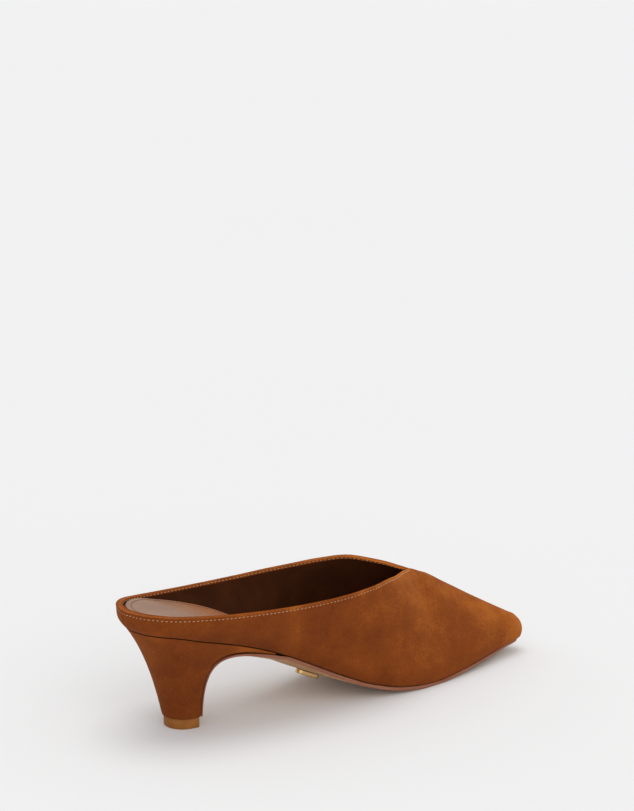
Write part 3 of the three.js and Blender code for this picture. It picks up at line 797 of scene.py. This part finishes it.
def sole_bottom_look():
    look = Look("sole_leather", Roughness=0.55, Specular_IOR_Level=0.35)
    clouds = look.spread(look.noise(20, 3, 0.6, 0.5), 0.34, 0.68)
    fibres = look.noise(0.6, 3, 0.65, vector=look.stretched(0.35, 1, 1))
    base = look.mix(clouds, srgb(178, 133, 88), srgb(200, 156, 106))
    look.colour(look.mix(look.spread(fibres, 0.35, 0.75, 0.0, 0.4), base, srgb(150, 106, 66)))
    look.bump(fibres, 0.05, 0.4)
    return look.material


def top_piece_look():
    look = Look("top_piece_plastic", Roughness=0.55, Specular_IOR_Level=0.25)
    specks = look.noise(0.7, 3, 0.7)
    clouds = look.spread(look.noise(6, 2), 0.35, 0.65)
    base = look.mix(clouds, srgb(138, 84, 28), srgb(154, 96, 36))
    look.colour(look.mix(look.spread(specks, 0.45, 0.8, 0.0, 0.4), base, srgb(132, 82, 30)))
    look.bump(specks, 0.03, 0.5)
    return look.material


def thread_look(name, dark, light):
    look = Look(name, Roughness=0.7, Sheen_Weight=0.2)
    twist = look.noise(0.35, 2, 0.6)
    look.colour(look.mix(look.spread(twist, 0.3, 0.7), dark, light))
    look.bump(twist, 0.05, 0.6)
    return look.material


def plate_look():
    look = Look("plate_metal", Metallic=1.0, Roughness=0.26)
    brushed = look.noise(0.5, 3, 0.6, vector=look.stretched(0.06, 1, 1))
    look.colour(look.mix(look.spread(brushed, 0.3, 0.7), srgb(208, 164, 102), srgb(226, 188, 132)))
    look.roughness(look.spread(brushed, 0.3, 0.7, 0.2, 0.32))
    look.bump(brushed, 0.01, 0.4)
    return look.material


SUEDE = suede_look("suede", srgb(92, 39, 11), srgb(128, 63, 19), srgb(180, 102, 36))
LINING_LOOK = lining_look()
SOCK_LOOK = sock_look()
BOARD = board_look()
SOLE_EDGE = sole_edge_look()
SOLE_BOTTOM = sole_bottom_look()
TOP_PIECE_LOOK = top_piece_look()
THREAD = thread_look("collar_thread", srgb(176, 128, 84), srgb(218, 176, 132))
SOCK_THREAD = thread_look("sock_thread", srgb(74, 44, 28), srgb(104, 66, 44))
PLATE_LOOK = plate_look()


def set_tone(piece, tone):
    """Writes one value a vertex, from the vertices' places in shoe millimetres."""
    mesh = piece.data
    co = np.zeros(len(mesh.vertices) * 3)
    mesh.vertices.foreach_get("co", co)
    points = co.reshape(-1, 3) * 1000 + (TOP_PIECE_CENTRE, 0, 0)
    values = mesh.attributes.new("tone", "FLOAT", "POINT")
    values.data.foreach_set("value", tone(points).astype(np.float32))


# Upper

SPANS = spans(STEPS_PER_RIB)
FEATHER_ROWS = (0, 0.12, 0.3, 0.55, 0.9, 1.4, 2.1, 3.0)
EDGE_ROWS = (6.5, 5.0, 4.0, 3.2, 2.7, 2.4, 2.2, 2.0, 1.85, 1.7, 1.55, 1.4, 1.2, 0.9, 0.6, 0.3, 0)
MIDDLE_ROWS = 26
INNER_ROWS = (4.0, 2.7, 2.3, 1.9, 1.3, 0.7, 0)


def retime(s, side, lengths):
    """t at lengths up the wall from the feather line, a row of them a column."""
    fine = np.linspace(0, 1, 161)
    walls = skin(s, side, fine)
    return np.array([np.interp(row, run_along(wall), fine) for row, wall in zip(lengths, walls)])


def rows_up(s, side, feather_rows, middle, edge_rows):
    """t of rows at distances from the feather line and from the edge, and their distances."""
    low = np.array(feather_rows, float)
    ends = np.array([run_along(wall)[-1] for wall in skin(s, side, np.linspace(0, 1, 161))])
    rows = []
    for end in ends:
        high = end - np.array(edge_rows, float)
        between = np.linspace(low[-1], high[0], middle + 2)[1:-1]
        rows.append(np.concatenate([low, between, high]))
    rows = np.array(rows)
    t = retime(s, side, rows)
    t[:, -1] = 1
    return t, rows, ends[:, None] - rows


def collar_lengths(side):
    """Distance along the collar from the middle of the back, for each column."""
    return run_along(rib_top(SPANS, side))


# Soft creases: share of LENGTH, side, share up the wall, half width and half height in millimetres,
# lean in degrees from upright, depth in millimetres (negative is a trough)
CREASES = [
    (0.33, -1, 0.50, 15, 17, 20, -0.30),
    (0.47, -1, 0.42, 10, 22, -18, 0.28),
    (0.60, -1, 0.55, 9, 20, -28, -0.30),
    (0.71, -1, 0.60, 10, 19, -32, 0.26),
    (0.80, -1, 0.55, 8, 15, -36, -0.24),
    (0.36, 1, 0.50, 14, 16, 14, -0.28),
    (0.55, 1, 0.45, 11, 20, -20, 0.26),
    (0.68, 1, 0.50, 10, 19, -30, -0.30),
    (0.79, 1, 0.55, 9, 16, -34, 0.22),
]


def crease_relief(points, side):
    total = np.zeros(points.shape[:-1])
    for at, its_side, up, wide, tall, lean, depth in CREASES:
        if its_side != side:
            continue
        centre = skin(np.array([share_at(at * LENGTH)]), side, [up])[0, 0]
        lean = math.radians(lean)
        dx = points[..., 0] - centre[0]
        dz = points[..., 2] - centre[2]
        across = dx * math.cos(lean) + dz * math.sin(lean)
        along = dz * math.cos(lean) - dx * math.sin(lean)
        total += depth * bell(across, 0, wide) * bell(along, 0, tall)
    return total


def ripple(x, y):
    """Small uneven swell, the same at each run."""
    waves = (
        (0.9, 0.31, 0.4), (0.47, -0.8, 1.9), (1.7, 0.6, 3.1), (0.23, 1.3, 5.2), (2.6, -0.4, 0.9),
    )
    return sum(np.sin(a * x + b * y + c) for a, b, c in waves) / len(waves)


def wall_relief(side, points, from_feather, from_edge):
    """How far the suede stands off the solids' skin, in millimetres."""
    s = SPANS[:, None]
    along = collar_lengths(side)[:, None]
    pucker = 0.5 + 0.5 * np.cos(2 * math.pi * along / STITCH_PITCH)
    groove = (GROOVE + PUCKER * pucker) * bell(from_edge, STITCH_DOWN, 0.42)
    relief = (s <= THROAT) * (FOLD_SWELL * bell(from_edge, 0.7, 0.5) - groove)
    tuck = np.clip(1 - from_feather / TUCK_TALL, 0, 1)
    relief -= TUCK * tuck**2.2
    seam = bell(along, 0, 0.45) - 0.55 * bell(along, 1.2, 0.7)
    relief -= SEAM * seam * np.exp(-s / 0.05)
    puckers = ripple(along * 0.9, from_edge * 0.5 + side)
    relief += (1 - smooth(s / 0.22)) * BACK_SWELL * puckers * bell(from_edge, 0, 4.5)
    relief += WALL_SWELL * ripple(points[..., 0] * 0.35, points[..., 2] * 0.3) * (1 - tuck)
    return relief + crease_relief(points, side) * smooth(from_feather / 6) * smooth(from_edge / 7)


def soften_ridge(inner, outer):
    """Rounds the ridge of the vamp, where both halves meet."""
    reach = np.arange(-RIDGE_REACH, RIDGE_REACH + 1)
    weights = np.exp(-((reach * RIDGE_STEP / RIDGE_ROUND) ** 2) / 2)
    for i in np.flatnonzero(SPANS > THROAT):
        section = np.concatenate([inner[i], outer[i][-2::-1]])
        along = run_along(section)
        from_middle = np.abs(along - along[inner.shape[1] - 1])
        uniform = np.arange(0, along[-1], RIDGE_STEP)
        dense = points_at(uniform, along, section)
        padded = np.pad(dense, ((RIDGE_REACH, RIDGE_REACH), (0, 0)), mode="edge")
        soft = sum(w * padded[k:k + len(dense)] for k, w in enumerate(weights)) / weights.sum()
        near = 1 - smooth((from_middle - 3.5) / 4.5)
        near *= smooth((SPANS[i] - THROAT) / 0.035)
        near *= smooth(np.minimum(along, along[-1] - along) / 4)
        section = lerp(section, points_at(along, uniform, soft), near[:, None])
        inner[i] = section[: inner.shape[1]]
        outer[i] = section[inner.shape[1] - 1:][::-1]


def lining_edge(s):
    """How far below the collar the lining starts, which falls to nothing at the throat."""
    return lerp(LINING_EDGE, -0.5, smooth((s - THROAT + 0.025) / 0.025))


def rim_up(s, side):
    edge = rib_top(np.minimum(THROAT, s + DS), side) - rib_top(np.maximum(0, s - DS), side)
    return unit(-side * np.cross(edge, facing(s, side, [1.0])[:, 0]))


def upper_faces():
    """Outer and inner faces of the suede on both sides, and the rounded rim between them."""
    outer, inner, rims = [], [], []
    for side in SIDES:
        t, from_feather, from_edge = rows_up(SPANS, side, FEATHER_ROWS, MIDDLE_ROWS, EDGE_ROWS)
        points = skin(SPANS, side, t)
        relief = wall_relief(side, points, from_feather, from_edge)
        outer.append(points + skin_out(SPANS, side, t) * relief[..., None])
        t, _, from_edge = rows_up(SPANS, side, (0, 2.5), 12, INNER_ROWS)
        under = smooth((from_edge - lining_edge(SPANS)[:, None]) / 0.3) * (LINING + LINING_ROOM)
        inner.append(lining(SPANS, side, t) + skin_out(SPANS, side, t) * under[..., None])
    soften_ridge(*outer)
    s = SPANS[SPANS <= THROAT]
    ups = [rim_up(s, side) for side in SIDES]
    for end in (0, -1):
        both = unit(ups[0][end] + ups[1][end])
        for up in ups:
            up[end] = both
    for k, side in enumerate(SIDES):
        a = outer[k][:len(s), -1]
        b = inner[k][:len(s), -1]
        along = collar_lengths(side)[:len(s), None]
        swell = RIM_SWELL * (1 - smooth(s / 0.25))[:, None]
        rim = []
        for angle in np.linspace(0, math.pi, 13):
            rise = RIM_ROUND * (1 + swell * ripple(along * 0.8, angle * 0.7))
            spot = (a + b) / 2 + (a - b) / 2 * math.cos(angle)
            rim.append(spot + ups[k] * rise * math.sin(angle))
        rims.append(np.stack(rim, axis=1))
    return outer, inner, rims


def suede_upper():
    outer, inner, rims = upper_faces()
    grids = [(ring(*outer), True, 0), (ring(*inner), True, 0)]
    grids += [(rim, False, 0) for rim in rims]
    band = np.stack([ring(*outer)[:, 0], ring(*inner)[:, 0]], axis=1)
    grids.append((band, True, 0))
    piece = grid_mesh("suede_upper", grids, [SUEDE])
    # crests of the rim, where the painted highlight along the folded edge is centred
    crests = np.concatenate([rim[:, len(rim[0]) // 2] for rim in rims])
    # tone on the upper: painted highlight on the toe, ridge and folded collar edge, painted shade
    # low on the wall
    set_tone(piece, lambda p: upper_painted_light(p) + rim_painted_highlight(p, crests))
    return piece


def upper_painted_light(p):
    """Painted highlight on the toe, the ridge and the top of the vamp, and painted shade low on the
    wall.
    """
    low = feather_height(p[:, 0]) + 7
    tone = -0.16 * (1 - smooth((p[:, 2] - low + 7) / 12))
    tone += 0.16 * smooth((p[:, 0] - 120) / 90) + 0.18 * smooth((p[:, 0] - 225) / 22)
    tone += 0.30 * smooth((p[:, 0] - 240) / 14)
    tone += 0.14 * smooth((p[:, 2] - low - 12) / 25) * smooth((p[:, 0] - 120) / 50)
    return tone


def rim_painted_highlight(p, crests):
    """Painted highlight along the collar's folded edge."""
    return 0.30 * (1 - smooth((distances(p, crests) - 0.6) / 1.2))


def lining_piece():
    """The lining leather, from the insole to its cut edge under the collar."""
    fronts, backs = [], []
    for side in SIDES:
        _, from_feather, from_edge = rows_up(SPANS, side, (0, 2.5), 22, (4.0, 3.2, 0))
        down = from_edge.copy()
        down[:, -1] = np.maximum(lining_edge(SPANS), 0)
        total = (from_feather + from_edge)[:, :1]
        t = np.clip(retime(SPANS, side, total - down), 0, 1)
        t[SPANS >= THROAT, -1] = 1
        out = skin_out(SPANS, side, t)
        face = lining(SPANS, side, t)
        x, z = face[..., 0], face[..., 2]
        folds = 0.12 * ripple(x * 0.12, z * 0.28 + side) + 0.10 * ripple(x * 0.45, z * 0.16)
        folds = folds * smooth(from_edge / 8) * smooth(from_feather / 8)
        fronts.append(face + out * np.minimum(folds, LINING_FOLD)[..., None])
        backs.append(face + out * LINING)
    grids = [(ring(*fronts), True, 0), (ring(*backs), True, 0)]
    low = np.stack([ring(*fronts)[:, 0], ring(*backs)[:, 0]], axis=1)
    grids.append((low, True, 0))
    collar = SPANS <= THROAT
    for front, back in zip(fronts, backs):
        grids.append((np.stack([front[collar, -1], back[collar, -1]], axis=1), False, 0))
    return grid_mesh("lining", grids, [LINING_LOOK], sharp=40)


# Stitches

def stitches(name, centres, along, up, look, length=STITCH_LENGTH):
    """Joined mesh of short rounded stitches whose ends dip into the leather."""
    rings = np.array([-1, -0.86, -0.5, 0, 0.5, 0.86, 1])
    width = np.array([0.25, 0.72, 1, 1, 1, 0.72, 0.25])[:, None] * STITCH_THICK / 2
    around = np.linspace(0, 2 * math.pi, 9)[:-1]
    slant = math.radians(STITCH_SLANT)
    across = unit(np.cross(up, along))
    ahead = unit(along * math.cos(slant) + across * math.sin(slant))
    across = unit(np.cross(up, ahead))
    spine = centres[:, None] + ahead[:, None] * (rings * length / 2)[:, None]
    spine = spine - up[:, None] * (STITCH_DIP * rings**4)[:, None]
    section = across[:, None, None] * (width * np.cos(around))[..., None]
    section = section + up[:, None, None] * (width * np.sin(around))[..., None]
    points = (spine[:, :, None] + section).reshape(-1, 3)
    n = len(around)
    per = len(rings) * n
    faces = []
    for base in range(0, len(points), per):
        for first in range(base, base + per - n, n):
            for j in range(n):
                a, b = first + j, first + (j + 1) % n
                faces.append((a, b, b + n, a + n))
        faces.append(tuple(range(base + n - 1, base - 1, -1)))
        faces.append(tuple(range(base + per - n, base + per)))
    mesh = bpy.data.meshes.new(name)
    mesh.from_pydata(place(points), [], faces)
    face_out(mesh)
    return link(name, mesh, [look])


def evenly(path, pitch):
    """Distances along a path at an even pitch, the points there and its directions there."""
    along = run_along(path)
    count = int(along[-1] // pitch)
    at = (np.arange(count) + 0.5) * along[-1] / count
    ahead, behind = (points_at(at + step, along, path) for step in (0.3, -0.3))
    return at, points_at(at, along, path), unit(ahead - behind)


def collar_stitches():
    s = np.linspace(0.0, THROAT - 0.004, 600)
    for inside, name in ((False, "collar_stitches"), (True, "lining_stitches")):
        down = INNER_STITCH_DOWN if inside else STITCH_DOWN
        paths, ups = [], []
        for side in SIDES:
            t = rows_up(s, side, (0,), 0, (down, 0))[0][:, 1:2]
            out = skin_out(s, side, t)[:, 0]
            face = lining(s, side, t) if inside else skin(s, side, t)
            paths.append(face[:, 0] - out * (LINING_SINK if inside else STITCH_SINK))
            ups.append(-out if inside else out)
        path = round_back(*paths)
        at, centres, ahead = evenly(path, STITCH_PITCH)
        up = unit(points_at(at, run_along(path), round_back(*ups)))
        yield stitches(name, centres, ahead, up, THREAD)


# Heel, sole and what lies inside

HEEL_LINES = 72
HEEL_RINGS = 72
ACROSS = 24


# How far the cover stands off at its rows, from the seat (0, 1, 2) and from the tip (-1, -2)
HEEL_TURNS = {0: -0.3, 1: -0.1, 2: -0.05, -1: -0.15, -2: -0.05}


def heel_cover():
    q = np.linspace(0, 1, HEEL_LINES + 1)
    v = np.linspace(0, 1, HEEL_RINGS + 1)
    k = np.linspace(0, 1, ACROSS + 1)
    seats = [seat_point(q, side) for side in SIDES]
    walls = [
        np.concatenate([seat[:, None], on_curve(heel_line(q, side), v)], axis=1)
        for seat, side in zip(seats, SIDES)
    ]
    seat_rows = across_rows(*seats, lambda x, w: bottom_height(x, w) - GAP, ACROSS)
    breast = np.concatenate([seat_rows[-1:], breast_rows(v, 0, ACROSS)])
    loop = np.concatenate([round_back(*walls), np.swapaxes(breast, 0, 1)[-2:0:-1]])
    index = np.arange(len(loop))
    corner = 2 * HEEL_LINES
    near = np.minimum(np.minimum(index, len(loop) - index), np.abs(index - corner))
    weight = np.clip(1 - near / 4, 0, 1)[:, None] * smooth(np.arange(loop.shape[1]) / 14)
    loop = lerp(loop, relaxed(loop), weight[..., None])
    off = HEEL_SWELL * ripple(loop[..., 0] * 0.5, loop[..., 2] * 0.4)
    for row, turn in HEEL_TURNS.items():
        off[:corner + 1, row] += turn
    loop = loop + unit((loop - loop.mean(axis=0)) * (1, 1, 0)) * off[..., None]
    crown = seat_rows[..., 2] - lerp(seat_rows[:, :1, 2], seat_rows[:, -1:, 2], k)
    grids = [(loop, True, 0)]
    for row, swell in ((0, crown), (-1, 0)):
        inner, outer = loop[HEEL_LINES::-1, row], loop[HEEL_LINES:corner + 1, row]
        cap = lerp(inner[:, None], outer[:, None], k[:, None])
        cap[..., 2] += swell
        cap[-1, 1:-1] = loop[:corner:-1, row]
        grids.append((cap, False, 0))
    piece = grid_mesh("heel_cover", grids, [SUEDE], sharp=50)
    set_tone(piece, heel_tone)
    return piece


def heel_tone(p):
    """Darker towards the tip, lighter under the waist."""
    return -0.06 - 0.05 * (1 - smooth((p[:, 2] - 6) / 40)) + 0.40 * smooth((p[:, 0] - 42) / 20)


def sole_rows():
    v = np.linspace(1, 0, HEEL_RINGS + 1)
    flap = breast_rows(v, FLAP_GAP, ACROSS)
    join = flap[-1, 0, 2] - (feather_height(flap[-1, 0, 0]) - GAP)
    s = SPANS[SPANS > FRONT_SHARE + 0.01]
    inset = lerp(SIDE_INSET, TOE_INSET, smooth((s - 1 + TOE_SHARE) / TOE_SHARE))[:, None]
    edges = [foot(s, side) - foot_out(s, side) * inset for side in SIDES]

    def height(x, w):
        return bottom_height(x, w) - GAP + join * (1 - smooth((x - HEEL_FRONT) / BLEND))

    return np.concatenate([flap, across_rows(edges[0], edges[1], height, ACROSS)])


def sole_faces():
    higher = sole_rows()
    middle = higher[:, ACROSS // 2]
    step = np.concatenate([middle[1:], middle[-1:]]) - np.concatenate([middle[:1], middle[:-1]])
    out = unit(xyz(step[:, 2], 0, -step[:, 0]))
    lower = higher + (out * sole_thickness(middle[:, 0])[:, None])[:, None]
    sink = BALL_FLAT * smooth((lower[..., 0] - HEEL_FRONT) / BLEND)
    ahead = lower[..., 0] > HEEL_FRONT
    lower[..., 2] = np.where(ahead, np.maximum(0, lower[..., 2] - sink), lower[..., 2])
    return higher, lower


def outsole():
    loop, under = rounded_loop(*sole_faces(), SOLE_ROUND)
    grids = [(loop, False, under[None, :]), (end_cap(loop[0]), False, 0)]
    return grid_mesh("outsole_leather", grids, [SOLE_EDGE, SOLE_BOTTOM], sharp=60)


def insole():
    edges = [lining(SPANS, side, [0], GAP)[:, 0] for side in SIDES]
    lower = across_rows(*edges, bottom_height, ACROSS)
    loop, _ = rounded_loop(bed_rows(SPANS, 0, 0, ACROSS), lower, INSOLE_ROUND)
    return grid_mesh("insole_board", [(loop, False, 0)], [BOARD], sharp=60)


def sock():
    s = SPANS[foot(SPANS, 1)[:, 0] < LENGTH - SOCK_TOE]
    lower = bed_rows(s, GAP, SOCK_INSET, 2 * ACROSS)
    higher = bed_rows(s, GAP + SOCK, SOCK_INSET, 2 * ACROSS)
    path = round_back(*bed_edges(s, GAP + SOCK, SOCK_INSET + SOCK_STITCH_IN))
    near = distances(higher.reshape(-1, 3) * (1, 1, 0), path * (1, 1, 0)).reshape(higher.shape[:2])
    swell = SOCK_SWELL * ripple(higher[..., 0] * 0.10, higher[..., 1] * 0.13) * smooth(near / 5)
    relief = swell - SOCK_GROOVE * bell(near, 0, 0.7)
    higher[:, 1:-1, 2] += relief[:, 1:-1]
    loop, _ = rounded_loop(higher, lower, SOCK_ROUND)
    grids = [(loop, False, 0), (end_cap(loop[-1]), False, 0)]
    piece = grid_mesh("sock_leather", grids, [SOCK_LOOK], sharp=60)
    # painted light along the sock: taupe at the heel end turning orange-brown towards the front, for
    # the light and shade inside the shoe
    set_tone(piece, lambda p: 0.8 * smooth((p[:, 0] - 28) / 44))
    return piece, sock_stitches(piece, path[path[:, 0] < SOCK_STITCH_END * LENGTH])


def sock_stitches(piece, path):
    """Stitches that lie on the sock's upper face along a path."""
    surface = BVHTree.FromPolygons(
        [v.co * 1000 for v in piece.data.vertices], [list(p.vertices) for p in piece.data.polygons]
    )
    _, centres, ahead = evenly(path, SOCK_STITCH_PITCH)
    above = centres - (TOP_PIECE_CENTRE, 0, -8)
    hits = [surface.ray_cast(Vector(spot), Vector((0, 0, -1)))[:2] for spot in above]
    spots = np.array([tuple(spot) for spot, _ in hits]) + (TOP_PIECE_CENTRE, 0, 0)
    up = np.array([tuple(normal) for _, normal in hits])
    return stitches("sock_stitches", spots, ahead, up, SOCK_THREAD, SOCK_STITCH_LENGTH)


def top_piece():
    """Hard-wearing lift: round at the back, flat at the breast, its edges eased."""
    share = np.linspace(0, 1, 61)
    outline = [top_piece_point(share, side, 0) for side in SIDES]
    front = lerp(outline[1][-1], outline[0][-1], np.linspace(0, 1, 25)[1:-1, None])
    loop = relaxed(np.concatenate([round_back(*outline), front]))
    centre = np.array([TOP_PIECE_CENTRE, 0, 0])
    away = unit(loop - centre)
    r = LIFT_ROUND
    turns = [(math.sin(a), math.cos(a)) for a in np.linspace(0.4, 1.57, 4)]
    profile = [(-r, 0)] + [(-r * (1 - sin), r * (1 - cos)) for sin, cos in turns]
    profile += [(0.05, TOP_PIECE_HEIGHT / 2), (0, TOP_PIECE_HEIGHT - r)]
    profile += [(-r * (1 - cos), TOP_PIECE_HEIGHT - r * (1 - sin)) for sin, cos in turns]
    rows = np.stack([loop + away * out + UP * height for out, height in profile], axis=1)
    grids = [(rows, True, 0)]
    for k, height in ((0, 0), (-1, TOP_PIECE_HEIGHT)):
        middle = np.broadcast_to(centre + UP * height, rows[:, k].shape)
        grids.append((np.stack([rows[:, k], middle], axis=1), True, 0))
    return grid_mesh("top_piece_lift", grids, [TOP_PIECE_LOOK], sharp=50)


def sole_plate():
    """Plain rounded metal plate under the waist."""
    half = PLATE_WIDTH / 2
    reach = PLATE_LENGTH / 2 - half
    side = PLATE_THICK - PLATE_EASE
    angle = np.linspace(0, 2 * math.pi, 97)[:-1]
    profile = [(1.0, 0.0), (1.0, -side)]
    for a in np.linspace(0.2, 1.57, 6):
        scale = 1 - (1 - math.cos(a)) * PLATE_EASE / half
        profile.append((scale, -side - PLATE_EASE * math.sin(a)))
    profile += [(scale, -PLATE_THICK) for scale in (0.55, 0.35, 0.18)]
    middle = np.where(np.cos(angle) >= 0, reach, -reach)
    rows = np.stack([
        xyz(middle + half * scale * np.cos(angle), half * scale * np.sin(angle), z)
        for scale, z in profile
    ], axis=1)
    caps = [np.stack([rows[:, k], rows[:, k] * (1, 0, 1)], axis=1) for k in (0, -1)]

    def under(at):
        return bottom_height(at, 0) - GAP - sole_thickness(at) - BALL_FLAT - GAP

    back, front = (under(PLATE_AT + sign * (reach - PLATE_ROUND)) for sign in SIDES)
    slope = math.atan2(back - front, 2 * (reach - PLATE_ROUND))
    height = min((back + front) / 2, under(PLATE_AT))
    turn = np.array(Matrix.Rotation(slope, 3, "Y"))
    spot = (PLATE_AT, PLATE_SIDE, height)
    grids = [(points @ turn.T + spot, True, 0) for points in [rows, *caps]]
    return grid_mesh("sole_plate_metal", grids, [PLATE_LOOK], sharp=50)


def dress(piece, slot, *nodes):
    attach(piece, "root")
    if nodes:
        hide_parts(*nodes)


dress(suede_upper(), "upper_suede", "upper")
dress(lining_piece(), "sock_leather")
for threads in collar_stitches():
    dress(threads, "upper_suede")
dress(heel_cover(), "heel_suede", "heel")
dress(outsole(), "sole_leather", "outsole")
dress(insole(), "insole_board", "insole")
sock_piece, sock_threads = sock()
dress(sock_piece, "sock_leather", "sock")
dress(sock_threads, "sock_leather")
dress(top_piece(), "top_piece_plastic", "top_piece")
dress(sole_plate(), "plate_metal", "sole_plate")


# Floor, light and camera

def floor():
    size = 12.0
    corners = [(-size, -size, 0), (size, -size, 0), (size, size, 0), (-size, size, 0)]
    mesh = bpy.data.meshes.new("floor")
    mesh.from_pydata(corners, [], [(0, 1, 2, 3)])
    look = Look("floor_paper", Roughness=1.0, Specular_IOR_Level=0.0)
    paper = look.noise(400, 2)
    look.colour(look.mix(paper, (0.795, 0.795, 0.795, 1), (0.805, 0.805, 0.805, 1)))
    link("floor", mesh, [look.material])


def sun(name, aim, power, spread):
    """Even light from far off, with soft shadows. aim is the way it shines."""
    light = bpy.data.lights.new(name, "SUN")
    light.energy = power
    light.angle = math.radians(spread)
    lamp = bpy.data.objects.new(name, light)
    lamp.rotation_euler = Vector(aim).to_track_quat("-Z", "Y").to_euler()
    bpy.context.scene.collection.objects.link(lamp)


def world():
    scene = bpy.context.scene
    scene.world = bpy.data.worlds.new("studio")
    scene.world.use_nodes = True
    background = scene.world.node_tree.nodes["Background"]
    background.inputs["Color"].default_value = (1, 1, 1, 1)
    background.inputs["Strength"].default_value = 0.73
    scene.view_settings.view_transform = "Standard"


CAMERA_TURN = 33.3  # degrees from square on to the inner side, towards the heel
CAMERA_DOWN = 13.2
CAMERA_PLACE = (-592.6, -1035.1, 451.2)
CAMERA_FOCUS = 2400  # focal length in pixels of the frame
FRAME_HEIGHT = 811
SENSOR = 36.0


def camera():
    turn = math.radians(CAMERA_TURN)
    down = math.radians(CAMERA_DOWN)
    right = Vector((math.cos(turn), -math.sin(turn), 0))
    up = Vector((math.sin(turn) * math.sin(down), math.cos(turn) * math.sin(down), math.cos(down)))
    back = right.cross(up)
    data = bpy.data.cameras.new("camera")
    data.sensor_width = SENSOR
    data.lens = CAMERA_FOCUS * SENSOR / FRAME_HEIGHT
    data.clip_end = 50
    shot = bpy.data.objects.new("camera", data)
    rotation = Matrix((right, up, back)).transposed().to_4x4()
    shot.matrix_world = Matrix.Translation(Vector(CAMERA_PLACE) / 1000) @ rotation
    bpy.context.scene.collection.objects.link(shot)
    bpy.context.scene.camera = shot


floor()
world()
sun("overhead", (-0.12, -0.16, -1.0), 0.85, 40)
sun("front", (0.20, 0.86, -0.47), 0.75, 60)
camera()
